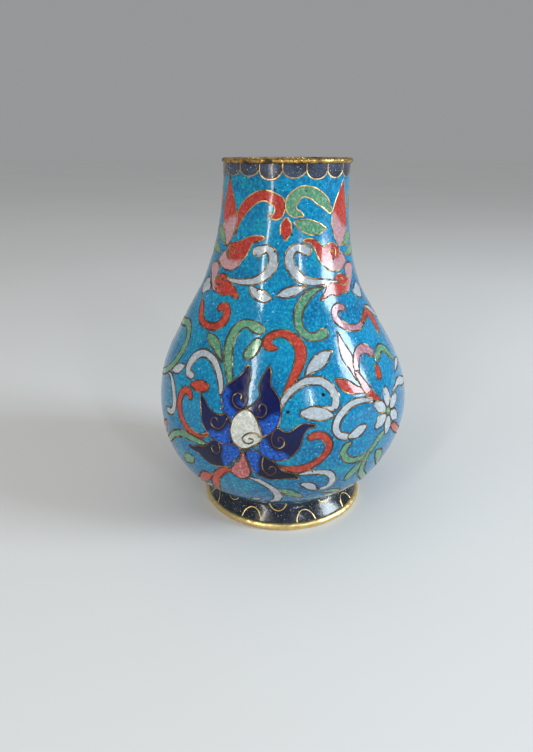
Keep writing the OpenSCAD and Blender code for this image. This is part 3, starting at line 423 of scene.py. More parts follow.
# ---------------------------------------------------------------- outlines
def curve(points, closed):
    """A centripetal curve through (turn, s, ...) points with a point about every OUTLINE_STEP."""
    p = np.array(points, float)
    count = len(p)
    flat = p[:, :2] * np.array([width_of_degree(p[:, 1].mean()), 1])
    out = []
    for i in range(count if closed else count - 1):
        at = [(i + k) % count if closed else min(max(i + k, 0), count - 1) for k in (-1, 0, 1, 2)]
        a, b, c, d = p[at]
        fa, fb, fc, fd = flat[at]
        if not closed and i == 0:
            a, fa = 2 * b - c, 2 * fb - fc
        if not closed and i == count - 2:
            d, fd = 2 * c - b, 2 * fc - fb
        gaps = [max(1e-6, np.linalg.norm(v)) ** 0.5 for v in (fb - fa, fc - fb, fd - fc)]
        t1, t2, t3 = np.cumsum(gaps)
        steps = max(2, math.ceil(np.linalg.norm(fc - fb) / OUTLINE_STEP))
        for t in t1 + (t2 - t1) * np.arange(steps) / steps:
            a1 = ((t1 - t) * a + t * b) / t1
            a2 = ((t2 - t) * b + (t - t1) * c) / (t2 - t1)
            a3 = ((t3 - t) * c + (t - t2) * d) / (t3 - t2)
            b1 = ((t2 - t) * a1 + t * a2) / t2
            b2 = ((t3 - t) * a2 + (t - t1) * a3) / (t3 - t1)
            out.append(((t2 - t) * b1 + (t - t1) * b2) / (t2 - t1))
    if not closed:
        out.append(p[-1])
    return np.array(out)


def directions(path, closed):
    """Unit tangents of a (turn, s) path, in mm on the surface."""
    if closed:
        step = np.roll(path, -1, 0) - np.roll(path, 1, 0)
    else:
        step = np.gradient(path, axis=0)
    step = step * np.stack([width_of_degree(path[:, 1]), np.ones(len(path))], -1)
    return step / (np.linalg.norm(step, axis=1, keepdims=True) + 1e-9)


def sideways(path, closed):
    """Unit vectors to the left of a (turn, s) path, in mm on the surface."""
    ahead = directions(path, closed)
    return np.stack([-ahead[:, 1], ahead[:, 0]], -1)


def move(path, side, by):
    """Moves (turn, s) points by mm along unit vectors on the surface."""
    scale = np.stack([1 / width_of_degree(path[:, 1]), np.ones(len(path))], -1)
    return path + side * np.asarray(by)[..., None] * scale


def scroll_outline(points):
    """The outline of a scroll or leaf: its two edges, with a round cap at each end."""
    middle = curve(points, False)
    path, half = middle[:, :2], np.maximum(middle[:, 2], 0.02)
    ahead = directions(path, False)
    left = np.stack([-ahead[:, 1], ahead[:, 0]], -1)
    angles = np.linspace(0, math.pi, 7)[1:-1]
    far = [move(path[-1:], left[-1:] * math.cos(a) + ahead[-1:] * math.sin(a), half[-1:])
           for a in angles]
    near = [move(path[:1], -left[:1] * math.cos(a) - ahead[:1] * math.sin(a), half[:1])
            for a in angles]
    return np.vstack([move(path, left, half)] + far + [move(path, left, -half)[::-1]] + near)


def outline(kind, points):
    """The (turn, s) path of a motif's edge."""
    if kind == "V":
        return scroll_outline(points)
    return curve(points, kind == "P")


def clearance(points, path, closed):
    """Distance in mm from each point to a polyline."""
    scale = np.stack([width_of_degree(points[:, 1]), np.ones(len(points))], -1)[:, None]
    a = (path[None] - points[:, None]) * scale
    b = np.roll(a, -1, 1)
    if not closed:
        a, b = a[:, :-1], b[:, :-1]
    span = b - a
    t = np.clip(-(a * span).sum(2) / ((span**2).sum(2) + 1e-12), 0, 1)
    return np.linalg.norm(a + t[..., None] * span, axis=2).min(1)


def inside(points, path):
    """Which points lie within a closed path, counting how often it winds around them."""
    x, y = points[:, 0][:, None], points[:, 1][:, None]
    x1, y1 = path[:, 0], path[:, 1]
    x2, y2 = np.roll(x1, -1), np.roll(y1, -1)
    crosses = (y1 > y) != (y2 > y)
    at = x1 + (y - y1) * (x2 - x1) / (y2 - y1 + 1e-12)
    return ((crosses & (x < at)) * np.sign(y2 - y1)).sum(1) != 0


def smooth_random(count, reach):
    """Random values from -1 to 1 that change slowly along a closed path."""
    values = random.uniform(-1, 1, count)
    window = np.ones(reach) / reach
    wrapped = np.pad(values, reach, mode="wrap")
    return np.convolve(wrapped, window, "same")[reach:-reach] * reach**0.5


# A moved point nearer to the old outline than this share of the move has folded over
FOLD_SHARE = 0.86


def grown(path, by):
    """A closed outline moved outward by mm, or inward where it is negative, without its folds."""
    flat = path * np.array([width_of_degree(path[:, 1].mean()), 1])
    turning = np.sign((flat[:, 0] * np.roll(flat[:, 1], -1) - np.roll(flat[:, 0], -1) * flat[:, 1]).sum())
    ahead = directions(path, True)
    outward = np.stack([ahead[:, 1], -ahead[:, 0]], -1) * turning
    moved = move(path, outward, by)
    return moved[clearance(moved, path, True) > np.abs(by) * FOLD_SHARE]


def turned(path, halves):
    """A path moved around the vessel by half turns."""
    return path + np.array([180.0 * halves, 0])


def on_front(turn, s):
    """Points with each turn brought into the front half."""
    return np.stack([(turn + HALF_TURN) % 180 - HALF_TURN, s], -1)


# ---------------------------------------------------------------- motifs as cells
def flower():
    """The white flower's six petals and its eye."""
    petals = []
    per_degree = width_of_degree(FLOWER_AT[1])
    for k in range(6):
        angle = math.radians(60 * k + 4)
        petals.append(("V", "petal", *[
            (FLOWER_AT[0] + math.sin(angle) * d / per_degree, FLOWER_AT[1] + math.cos(angle) * d, w)
            for d, w in PETAL]))
    eye = [(FLOWER_AT[0] + math.sin(math.radians(a)) * EYE_R / per_degree,
            FLOWER_AT[1] + math.cos(math.radians(a)) * EYE_R) for a in range(0, 360, 45)]
    return petals + [("P", "eye", *eye)]


def lappets():
    """The scallops that hang from the lip; their upper edge lies past the end of the enamel."""
    cells = []
    for k, drop in enumerate(LAPPET_DROPS):
        centre = LAPPET_FIRST + k * LAPPET_PITCH
        half, straight = LAPPET_HALF * LAPPET_PITCH, LAPPET_STRAIGHT * drop
        arc = [(centre + half * math.cos(math.radians(a)),
                ARC_END - straight - (drop - straight) * math.sin(math.radians(a)))
               for a in range(0, 181, 15)]
        corners = [(centre - half, ARC_END + 0.5), (centre - half, ARC_END + 2),
                   (centre + half, ARC_END + 2), (centre + half, ARC_END + 0.5)]
        cells.append(("P", "lappet", *(arc + corners)))
    return cells


CLUSTERS = {"lapis": "lotus", "heart": "lotus", "calyx": "lotus", "petal": "flower", "eye": "flower"}
CLUSTER_PIECES = {"lapis": "lotus_petals", "heart": "lotus_heart", "calyx": "lotus_calyx",
                  "petal": "flower_petals", "eye": "flower_eye"}


def zone(points):
    """The zone of the vessel that a motif's middle is in."""
    middle = sum(q[1] for q in points) / len(points)
    if middle > NECK_FROM:
        return "neck"
    return "shoulder" if middle > SHOULDER_FROM else "belly"


class Motif:
    """One cell's outline on the front, with the names of the pieces that its fill and wire belong to."""

    def __init__(self, kind, colour, *points):
        self.kind, self.colour = kind, colour
        self.closed = kind != "W"
        self.path = outline(kind, points)[:, :2]
        place = zone(points)
        self.band = colour == "lappet"
        if self.band:
            self.fill, self.wire = "neck_band_enamel", "neck_band_wires"
        elif colour in CLUSTERS:
            self.fill, self.wire = CLUSTER_PIECES[colour], CLUSTERS[colour] + "_wires"
        else:
            self.fill, self.wire = f"{place}_{colour}", place + "_wires"
        room = np.interp(self.path[:, 1].mean(), ROOM_HEIGHTS, ROOM)
        if self.closed:
            room = room * (1 + ROOM_SPREAD * np.clip(smooth_random(len(self.path), 5), -1, 1))
            self.outer = grown(self.path, room)
            self.inner = grown(self.path, -room)
        else:
            room *= LOOSE_WIRE_ROOM
            left = sideways(self.path, False)
            self.outer = np.vstack([move(self.path, left, room), move(self.path, left, -room)[::-1]])
            self.inner = None

    def name(self, part, back):
        """The piece's name on the front or on the back."""
        return part if self.band else ("back_" if back else "front_") + part


def shaded(one, other):
    """Whether two cells meet with no wire between, as red runs into pink on the side lotuses."""
    return one.colour != other.colour and {one.fill, other.fill} == {"neck_red", "neck_pink"}


MOTIF_LIST = [Motif(*m) for m in MOTIFS + flower() + LOTUS + SIDES + lappets()]


def copies():
    """(motif, half turns) for every copy that reaches into the half turn around the front."""
    edge = HALF_TURN + 2
    found = []
    for motif in MOTIF_LIST:
        for halves in (-1, 0, 1):
            turns = turned(motif.path, halves)[:, 0]
            if turns.max() > -edge and turns.min() < edge:
                found.append((motif, halves))
    return found


# ---------------------------------------------------------------- cutting the surface into cells
def small_pits():
    """Pinholes in the half turn: the large ones, and small ones strung along the wires."""
    pits = list(PITS)
    for _ in range(SMALL_PITS):
        motif = MOTIF_LIST[random.integers(len(MOTIF_LIST))]
        turn, s = motif.path[random.integers(len(motif.path))]
        turn += random.normal(0, PIT_SCATTER_TURN)
        s += random.normal(0, PIT_SCATTER)
        if abs(turn) < HALF_TURN - 2 and 1 < s < ARC_END - 5:
            pits.append((turn, s, random.uniform(PIT_SMALLEST, PIT_LARGEST)))
    return pits


def cut_surface():
    """Triangles of one half turn, and at each a (motif, halves) cell, "ground" or None where it is bare."""
    points, faces = [], []

    def add(path):
        first = len(points)
        points.extend((turn * math.radians(1) * REF_R, s) for turn, s in path)
        faces.append(list(range(first, len(points))))

    rows = np.linspace(0, ARC_END, int(ARC_END / GRID_STEP) + 1)
    add([(HALF_TURN, s) for s in rows] + [(-HALF_TURN, s) for s in rows[::-1]])
    placed = copies()
    for motif, halves in placed:
        for path in (motif.outer, motif.inner):
            if path is not None and len(path) > 2:
                add(turned(path, halves))
    angles = np.radians(np.arange(0, 360, 45))
    pits = [np.stack([turn + np.cos(angles) * r / width_of_degree(s), s + np.sin(angles) * r], -1)
            for turn, s, r in small_pits()]
    for pit in pits:
        add(pit)

    taken = KDTree(len(points))
    for i, (x, y) in enumerate(points):
        taken.insert((x, y, 0), i)
    taken.balance()
    for k, s in enumerate(rows[1:-1]):
        count = round(math.pi * body_r(s) / GRID_STEP)
        for turn in -HALF_TURN + 180 * (np.arange(count) + 0.5 * (k % 2)) / count:
            x = turn * math.radians(1) * REF_R
            if turn > -HALF_TURN + 1 and taken.find((x, s, 0))[2] > GRID_CLEAR:
                points.append((x, s))

    verts, _, tris, _, _, _ = delaunay_2d_cdt([Vector(p) for p in points], [], faces, 0, 1e-5, False)
    flat = np.array([(v[0] / (math.radians(1) * REF_R), v[1]) for v in verts])
    middles = flat[np.array([tuple(t) for t in tris])].mean(1)

    def under(path):
        """Which triangles have their middle within an outline."""
        path = np.asarray(path)
        near = ((middles > path.min(0)) & (middles < path.max(0))).all(1)
        near[near] = inside(middles[near], path)
        return near

    top = np.full(len(tris), -1)
    filled = np.zeros(len(tris), bool)
    for rank, (motif, halves) in enumerate(placed):
        if len(motif.outer) < 3:
            continue
        here = under(turned(motif.outer, halves))
        below = [r for r in np.unique(top[here]) if r >= 0 and shaded(motif, placed[r][0])]
        fill = np.isin(top, below)
        if motif.inner is not None and len(motif.inner) > 2:
            fill |= under(turned(motif.inner, halves))
        filled[here] = fill[here]
        top[here] = rank
    open_here = (np.abs(middles[:, 0]) > HALF_TURN) | (middles[:, 1] > ARC_END) | (middles[:, 1] < 0)
    for pit in pits:
        open_here |= under(pit)
    labels = []
    for rank, fill, bare in zip(top, filled, open_here):
        if bare or (rank >= 0 and not fill):
            labels.append(None)
        else:
            labels.append(placed[rank] if rank >= 0 else "ground")
    return flat, [tuple(t) for t in tris], labels


# ---------------------------------------------------------------- meshes
def link(name, data):
    obj = bpy.data.objects.new(name, data)
    bpy.context.scene.collection.objects.link(obj)
    return obj


def add_mesh(name, verts, faces, material, loop_normals=None):
    """A mesh object in metres from points in mm."""
    mesh = bpy.data.meshes.new(name)
    mesh.from_pydata((np.asarray(verts) * MM).tolist(), [], faces)
    mesh.polygons.foreach_set("use_smooth", [True] * len(mesh.polygons))
    if loop_normals is not None:
        mesh.normals_split_custom_set(loop_normals.tolist())
    mesh.materials.append(material)
    return link(name, mesh)


def cell_solid(name, flat, tris, depth, material):
    """A closed slab over triangles given in (turn, s), with true normals on its outer face."""
    used, corner = np.unique(tris, return_inverse=True)
    tris = corner.reshape(-1, 3)
    turn, s = flat[used, 0], flat[used, 1]
    top, normal = skin(turn, s)
    bottom = skin(turn, s, np.full(len(s), -depth))[0]
    count = len(used)
    edges = np.vstack([tris[:, [0, 1]], tris[:, [1, 2]], tris[:, [2, 0]]])
    keys = np.sort(edges, 1)
    _, index, tally = np.unique(keys, axis=0, return_inverse=True, return_counts=True)
    rim = edges[tally[index.ravel()] == 1]
    walls = np.stack([rim[:, 1], rim[:, 0], rim[:, 0] + count, rim[:, 1] + count], -1)
    verts = np.vstack([top, bottom])
    faces = tris.tolist() + (tris[:, ::-1] + count).tolist() + walls.tolist()
    side = np.cross(verts[walls[:, 1]] - verts[walls[:, 0]], verts[walls[:, 2]] - verts[walls[:, 1]])
    side /= np.linalg.norm(side, axis=1, keepdims=True) + 1e-12
    loops = np.vstack([normal[tris.ravel()], -normal[tris[:, ::-1].ravel()], np.repeat(side, 4, axis=0)])
    return add_mesh(name, verts, faces, material, loops), turn, s


def strip(middle, outward, half, section, closed):
    """Vertices and faces of a wire along points in space, from a section of (share of half, height)."""
    if closed:
        ahead = np.roll(middle, -1, 0) - np.roll(middle, 1, 0)
    else:
        ahead = np.gradient(middle, axis=0)
    ahead /= np.linalg.norm(ahead, axis=1, keepdims=True) + 1e-9
    side = np.cross(outward, ahead)
    rings = np.stack([middle + side * half[:, None] * across + outward * up for across, up in section], 1)
    count, ring = len(middle), len(section)
    faces = []
    for i in range(count if closed else count - 1):
        j = (i + 1) % count
        faces += [(i * ring + k, i * ring + (k + 1) % ring, j * ring + (k + 1) % ring, j * ring + k)
                  for k in range(ring)]
    if not closed:
        faces.append(tuple(range(ring))[::-1])
        faces.append(tuple((count - 1) * ring + k for k in range(ring)))
    return rings.reshape(-1, 3), faces


def wire_section(shoulder, proud, depth):
    """A wire's section, with a bevelled crest."""
    return [(-1, -depth), (-1, shoulder), (-0.6, proud), (0.6, proud), (1, shoulder), (1, -depth)]


def ribbon(path, closed):
    """Vertices and faces of a wire that stands in the skin along a (turn, s) path."""
    count = len(path)
    stray = WIRE_STRAY * smooth_random(count, 4)
    path = move(path, sideways(path, closed), stray)
    middle, normal = skin(path[:, 0], path[:, 1])
    half = WIRE_HALF * (1 + WIRE_VARIES * smooth_random(count, 5))
    return strip(middle, normal, half, wire_section(0.3 * WIRE_PROUD, WIRE_PROUD, CELL_DEPTH), closed)


def runs(keep, closed):
    """Stretches of a path that are kept: (list of indexes, whether they close a loop)."""
    count = len(keep)
    if keep.all():
        return [(list(range(count)), closed)]
    if not keep.any():
        return []
    start = int(np.argmin(keep)) if closed else 0
    found, now = [], []
    for i in [(start + k) % count for k in range(count)]:
        if keep[i]:
            now.append(i)
        elif now:
            found.append(now)
            now = []
    if now:
        found.append(now)
    out = []
    for part in found:
        if closed or part[0] > 0:
            part = [(part[0] - 1) % count] + part
        if closed or part[-1] < count - 1:
            part = part + [(part[-1] + 1) % count]
        if len(part) > 3:
            out.append((part, False))
    return out


def wire_paths():
    """Each wire's visible stretches: {piece: [(path, closed)]} over the whole turn."""
    pieces = {}
    everything = [(i, halves) for i in range(len(MOTIF_LIST)) for halves in (-1, 0, 1)]
    for rank, motif in enumerate(MOTIF_LIST):
        path = motif.path
        keep = (path[:, 1] < ARC_END - 0.05) & (path[:, 1] > 0.15)
        low, high = path.min(0) - 1, path.max(0) + 1
        for other, halves in everything:
            cover = MOTIF_LIST[other]
            if not cover.closed or (other <= rank and not shaded(motif, cover)):
                continue
            shape = turned(cover.path, halves)
            if (shape.max(0) < low).any() or (shape.min(0) > high).any():
                continue
            if other > rank:
                keep &= ~inside(path, shape)
            keep &= clearance(path, shape, True) > HIDDEN_NEAR
        for part, loop in runs(keep, motif.closed):
            for back in (False, True):
                stretch = turned(path[part], int(back))
                pieces.setdefault(motif.name(motif.wire, back), []).append((stretch, loop))
    return pieces


def merged(parts):
    """Joins (vertices, faces) pairs into one."""
    verts, faces, first = [], [], 0
    for v, f in parts:
        verts.append(v)
        faces += [tuple(i + first for i in face) for face in f]
        first += len(v)
    return np.vstack(verts), faces


def lathe(name, loop, material, segments=192, ripple=None):
    """A closed turned solid from a closed (radius, height) loop; ripple(turn, r, z) gives small shifts."""
    loop = np.array(loop, float)
    turns = np.arange(segments) * 360 / segments
    angle = np.radians(turns)
    r = np.repeat(loop[:, 0][None], segments, 0)
    z = np.repeat(loop[:, 1][None], segments, 0)
    if ripple is not None:
        dr, dz = ripple(turns[:, None], r, z)
        r = r + dr
        z = z + dz
    verts = np.stack([r * np.sin(angle)[:, None] + lean(z), -r * np.cos(angle)[:, None], z], -1)
    verts = verts.reshape(-1, 3)
    n = len(loop)
    faces = []
    for i in range(segments):
        here, there = i * n, (i + 1) % segments * n
        faces += [(here + k, there + k, there + (k + 1) % n, here + (k + 1) % n) for k in range(n)]
    obj = add_mesh(name, verts, faces, material)
    obj.data.set_sharp_from_angle(angle=math.radians(40))
    return obj


# ---------------------------------------------------------------- materials
def srgb(r, g, b):
    """Linear colour from 0-255 values."""
    return tuple((c / 255 / 12.92 if c / 255 <= 0.04045 else ((c / 255 + 0.055) / 1.055) ** 2.4)
                 for c in (r, g, b)) + (1.0,)


class Shader:
    """A Principled material whose nodes are added by name; places are in mm."""

    def __init__(self, name):
        self.material = bpy.data.materials.new(name)
        self.material.use_nodes = True
        self.tree = self.material.node_tree
        self.surface = self.tree.nodes["Principled BSDF"]
        place = self.add("ShaderNodeTexCoord").outputs["Object"]
        self.mm = self.add("ShaderNodeMapping", Vector=place, Scale=(1 / MM,) * 3).outputs[0]

    def feed(self, socket, value):
        """Links a socket to another one, or sets its value."""
        if isinstance(value, bpy.types.NodeSocket):
            self.tree.links.new(value, socket)
        else:
            socket.default_value = value

    def add(self, kind, **inputs):
        node = self.tree.nodes.new(kind)
        for key, value in inputs.items():
            if key in ("feature", "attribute_name"):
                setattr(node, key, value)
            else:
                self.feed(node.inputs[key.replace("_", " ")], value)
        return node

    def set(self, **inputs):
        for key, value in inputs.items():
            self.feed(self.surface.inputs[key.replace("_", " ")], value)

    def noise(self, scale, detail=2.0, roughness=0.5, distortion=0.0):
        node = self.add("ShaderNodeTexNoise", Vector=self.mm, Scale=scale, Detail=detail,
                        Roughness=roughness, Distortion=distortion)
        return node.outputs[0]

    def voronoi(self, scale, output="Distance", feature="F1"):
        node = self.add("ShaderNodeTexVoronoi", feature=feature, Vector=self.mm, Scale=scale)
        return node.outputs[output]

    def level(self, value, low, high, to_low=0.0, to_high=1.0):
        node = self.add("ShaderNodeMapRange", Value=value, From_Min=low, From_Max=high,
                        To_Min=to_low, To_Max=to_high)
        return node.outputs[0]

    def maths(self, operation, a, b):
        node = self.tree.nodes.new("ShaderNodeMath")
        node.operation = operation
        for socket, value in zip(node.inputs, (a, b)):
            self.feed(socket, value)
        return node.outputs[0]

    def blend(self, share, a, b):
        node = self.tree.nodes.new("ShaderNodeMix")
        node.data_type = "RGBA"
        for place, value in ((0, share), (6, a), (7, b)):
            self.feed(node.inputs[place], value)
        return node.outputs[2]

    def attribute(self, name):
        """A value that the mesh carries at each point."""
        return self.add("ShaderNodeAttribute", attribute_name=name).outputs["Fac"]

    def base_colour(self):
        """What the base colour is linked to so far."""
        return self.surface.inputs["Base Color"].links[0].from_socket

    def spots(self, scale, size, strength):
        """Round spots of mixed sizes, up to a share of their spacing."""
        reach = self.maths("MULTIPLY", self.voronoi(scale, "Color"), size)
        gap = self.maths("SUBTRACT", self.voronoi(scale), self.maths("SUBTRACT", reach, 0.3 * size))
        return self.level(gap, 0.02, -0.02, 0, strength)

    def bump(self, height, distance):
        node = self.add("ShaderNodeBump", Height=height, Distance=distance, Strength=1.0)
        self.set(Normal=node.outputs[0])

    def glaze(self, specular, coat, coat_roughness=0.06):
        """The glassy face of an enamel."""
        self.set(Specular_IOR_Level=specular, Coat_Weight=coat, Coat_Roughness=coat_roughness, Coat_IOR=1.5)

    def height_mm(self):
        node = self.add("ShaderNodeSeparateXYZ", Vector=self.mm)
        return node.outputs[2]


# Lowest roughness of a polished enamel, and how much it rises where the polish is thin
POLISH = 0.09
POLISH_SPREAD = 0.12
PIT_BROWN = (38, 26, 22)


def enamel(name, main, deep, pale, grain, pits, deep_low=0.0, specks=0.3, tint=None, speck=None):
    """Fired enamel: cloudy colour, fine grains, pale specks, pinholes and a polished face."""
    m = Shader(name)
    share = m.level(m.noise(0.11, 3, 0.55), 0.35, 0.7, 0, 0.8)
    # painted shade: from 52 mm down the colour runs to the deep one, darker towards the foot
    if deep_low:
        share = m.maths("MAXIMUM", share, m.level(m.height_mm(), 52, 12, 0, deep_low))
    colour = m.blend(share, main, deep)
    if tint:
        colour = m.blend(m.level(m.noise(0.16, 4, 0.6, 0.6), 0.52, 0.72, 0, 0.75), colour, tint)
    fine = m.noise(1.5, 4, 0.75)
    colour = m.blend(m.level(fine, 0.5, 0.66, 0, grain), colour, pale)
    colour = m.blend(m.level(fine, 0.48, 0.34, 0, grain), colour, deep)
    colour = m.blend(m.spots(1.05, 0.3, specks), colour, speck or pale)
    hole = m.spots(0.55, 0.2 * pits, 1.0)
    colour = m.blend(hole, colour, srgb(*PIT_BROWN))
    m.set(Base_Color=colour, Roughness=m.level(m.noise(0.5, 2), 0.3, 0.7, POLISH, POLISH + POLISH_SPREAD))
    m.glaze(0.32, 0.16)
    waves_height = m.maths("ADD", m.noise(0.55, 2), m.maths("MULTIPLY", m.noise(2.4, 2), 0.22))
    m.bump(m.maths("SUBTRACT", waves_height, m.maths("MULTIPLY", hole, 2.5)), 0.035 * MM)
    return m


def turquoise():
    """The ground, with greener clouds and pale grains; painted shade darkens it towards the foot."""
    return enamel("turquoise_enamel", srgb(0, 122, 166), srgb(0, 68, 116), srgb(34, 168, 194), 0.65, 0.9,
                  deep_low=0.9, specks=0.7, tint=srgb(18, 134, 144), speck=srgb(150, 208, 212)).material


def lapis():
    """Grainy blue that runs to navy where the deep attribute says so."""
    m = Shader("lapis_enamel")
    grains = m.noise(1.6, 4, 0.75)
    colour = m.blend(m.level(grains, 0.36, 0.62), srgb(3, 26, 108), srgb(28, 98, 194))
    colour = m.blend(m.spots(1.5, 0.4, 0.7), colour, srgb(130, 172, 236))
    # painted shade: the navy is darker on the lower petals, from 36 mm down to 22 mm
    dark = m.blend(m.level(m.height_mm(), 22, 36), srgb(2, 3, 20), srgb(4, 14, 66))
    navy = m.blend(m.level(grains, 0.5, 0.75, 0, 0.7), dark, srgb(26, 36, 100))
    ragged = m.level(m.noise(1.6, 2), 0.2, 0.8, -0.2, 0.2)
    edge = m.level(m.maths("ADD", m.attribute("deep"), ragged), 0.3, 0.7)
    colour = m.blend(edge, colour, navy)
    m.set(Base_Color=colour, Roughness=m.level(m.noise(0.9, 2), 0.3, 0.7, 0.1, 0.22))
    m.glaze(0.28, 0.12)
    m.bump(m.maths("ADD", m.noise(0.6, 2), m.maths("MULTIPLY", grains, 0.3)), 0.035 * MM)
    return m.material


def heart_white():
    """Greyish white with a fine crackle."""
    m = enamel("crackled_enamel", srgb(200, 204, 198), srgb(148, 155, 150), srgb(226, 227, 220), 0.7, 0.9)
    crackle = m.level(m.voronoi(0.42, feature="DISTANCE_TO_EDGE"), 0.03, 0.0, 0, 0.5)
    m.set(Base_Color=m.blend(crackle, m.base_colour(), srgb(122, 116, 104)))
    return m.material


def speckled_slate(name, dark, mid, grain):
    """Dark blue-grey enamel full of pale grains, for the bands at the lip and the foot."""
    m = Shader(name)
    colour = m.blend(m.level(m.noise(0.2, 3), 0.35, 0.65), dark, mid)
    fine = m.noise(3.4, 4, 0.75)
    colour = m.blend(m.level(fine, 0.52, 0.74, 0, grain), colour, srgb(128, 138, 158))
    specks = m.maths("SUBTRACT", m.voronoi(1.9), m.maths("MULTIPLY", m.voronoi(1.9, "Color"), 0.24))
    colour = m.blend(m.level(specks, 0.02, -0.05, 0, 0.9), colour, srgb(206, 210, 214))
    m.set(Base_Color=colour, Roughness=m.level(fine, 0.3, 0.7, 0.12, 0.26))
    m.glaze(0.32, 0.2, 0.08)
    m.bump(m.maths("ADD", m.noise(0.8, 2), m.maths("MULTIPLY", fine, 0.35)), 0.04 * MM)
    return m.material


def gilt(name, bright, dull, patina, patina_and_shade_from, patina_and_shade_to, rough, bump_mm, dark_low=False):
    """Metal that has worn and darkened in patches; with the last flag set, painted shade also darkens it on
    the belly, for the dark reflections there.
    """
    m = Shader(name)
    patches = m.noise(0.45, 5, 0.62)
    # painted shade: from 80 mm down to the belly the metal is darker, standing for dark reflections
    if dark_low:
        patches = m.maths("ADD", patches, m.level(m.height_mm(), 80, 58, 0, 0.17))
    # this mask holds the patina patches and, on the belly of the wires, the painted shade
    patina_and_shade = m.level(patches, patina_and_shade_from, patina_and_shade_to)
    tone = m.blend(m.level(m.noise(1.3, 3), 0.3, 0.7), bright, dull)
    m.set(Base_Color=m.blend(patina_and_shade, tone, patina), Metallic=m.level(patina_and_shade, 0, 1, 1, 0.35))
    fine = m.noise(3.0, 4, 0.7)
    m.set(Roughness=m.level(m.maths("ADD", fine, patina_and_shade), 0.3, 1.3, rough, rough + 0.3))
    m.bump(m.maths("ADD", m.noise(0.9, 3), m.maths("MULTIPLY", fine, 0.5)), bump_mm * MM)
    return m.material


def red_to_pink():
    """Red enamel that runs into pink by the blush attribute."""
    m = enamel("shaded_enamel", srgb(168, 52, 42), srgb(132, 34, 33), srgb(196, 108, 88), 0.55, 0.7)
    cloudy = m.maths("ADD", m.attribute("blush"), m.level(m.noise(0.5, 3), 0.2, 0.8, -0.2, 0.2))
    fine = m.level(m.noise(1.9, 3, 0.7), 0.3, 0.7)
    pink = m.blend(fine, srgb(150, 104, 110), srgb(182, 150, 154))
    m.set(Base_Color=m.blend(m.level(cloudy, 0.3, 0.72), m.base_colour(), pink))
    return m.material


# Enamels with nothing special about them: main, deep and pale colours, grain and pinholes
PLAIN_ENAMELS = {
    "red": ((168, 56, 43), (128, 34, 32), (196, 112, 88), 0.55, 0.9),
    "green": ((88, 138, 108), (52, 106, 86), (148, 180, 144), 0.65, 0.9),
    "white": ((160, 168, 175), (128, 138, 150), (202, 208, 208), 0.6, 1.0),
    "pink": ((164, 118, 130), (142, 88, 102), (188, 162, 176), 0.8, 0.9),
    "calyx": ((168, 92, 92), (138, 60, 66), (202, 152, 150), 0.9, 1.0),
}
MATERIALS = {
    "turquoise": turquoise(),
    "shaded": red_to_pink(),
    "lapis": lapis(),
    "heart": heart_white(),
    "lappet": speckled_slate("slate_enamel", srgb(30, 34, 46), srgb(54, 64, 84), 0.6),
    "foot": speckled_slate("foot_enamel", srgb(10, 12, 18), srgb(26, 32, 46), 0.35),
    "wire": gilt("gilt_wire", srgb(222, 192, 136), srgb(178, 146, 96), srgb(84, 62, 44),
                 0.5, 0.66, 0.28, 0.015, dark_low=True),
    "lip": gilt("lip_gilt", srgb(228, 188, 104), srgb(150, 108, 50), srgb(50, 35, 18),
                0.45, 0.6, 0.2, 0.14),
    "rim": gilt("rim_gilt", srgb(240, 214, 152), srgb(222, 190, 122), srgb(128, 94, 50),
                0.6, 0.8, 0.3, 0.03),
    "copper": gilt("dark_copper", srgb(96, 58, 38), srgb(70, 42, 30), srgb(22, 16, 14),
                   0.35, 0.6, 0.4, 0.03),
}
for key, (main, deep, pale, grain, pits) in PLAIN_ENAMELS.items():
    name = ("rose" if key == "calyx" else key) + "_enamel"
    MATERIALS[key] = enamel(name, srgb(*main), srgb(*deep), srgb(*pale), grain, pits).material
MATERIALS["petal"] = MATERIALS["white"]
MATERIALS["eye"] = MATERIALS["green"]


# ---------------------------------------------------------------- the pieces
def place_piece(obj, node):
    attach(obj, "root")
    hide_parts(node)


# Where each petal of the lotus turns navy: the way it deepens, in degrees up from across, and how far past
# the spiral's middle the navy reaches
PETAL_NAVY = [(55, -0.5), (108, 1.3), (118, 1.0), (190, 1.2), (52, 1.3), (-22, 1.7)]
# How much darker the lapis gets in one mm, and how wide the navy is around a spiral
NAVY_SLOPE = 0.45
SPIRAL_NAVY = 0.9
# How far the red and the pink run into each other, in mm
BLUSH_REACH = 3.2


def petal_depth(turn, s):
    """How far the lapis has gone to navy at each point: from the spiral on to the petal's tip."""
    petals = [m for m in MOTIF_LIST if m.colour == "lapis" and m.closed]
    spirals = [m for m in MOTIF_LIST if m.colour == "lapis" and not m.closed]
    places = on_front(turn, s)
    depth = np.zeros(len(turn))
    for petal, spiral, (way, reach) in zip(petals, spirals, PETAL_NAVY):
        centre = spiral.path.mean(0)
        scale = np.array([width_of_degree(centre[1]), 1])
        ahead = np.array([math.cos(math.radians(way)), math.sin(math.radians(way))])
        along = ((places - centre) * scale) @ ahead + reach
        near = SPIRAL_NAVY - clearance(places, spiral.path, False)
        here = inside(places, petal.path)
        depth[here] = np.clip(0.5 + NAVY_SLOPE * np.maximum(along, near), 0, 1)[here]
    return depth


def blush(places, colour):
    """0 in the red, 1 in the pink, and halfway where the two meet."""
    partner = "pink" if colour == "red" else "red"
    edge = np.full(len(places), BLUSH_REACH)
    for motif in MOTIF_LIST:
        if motif.closed and motif.fill == "neck_" + partner and motif.kind == "P":
            edge = np.minimum(edge, clearance(places, motif.path, True))
    share = np.clip(edge / BLUSH_REACH, 0, 0.5)
    return 0.5 - share if colour == "red" else 0.5 + share


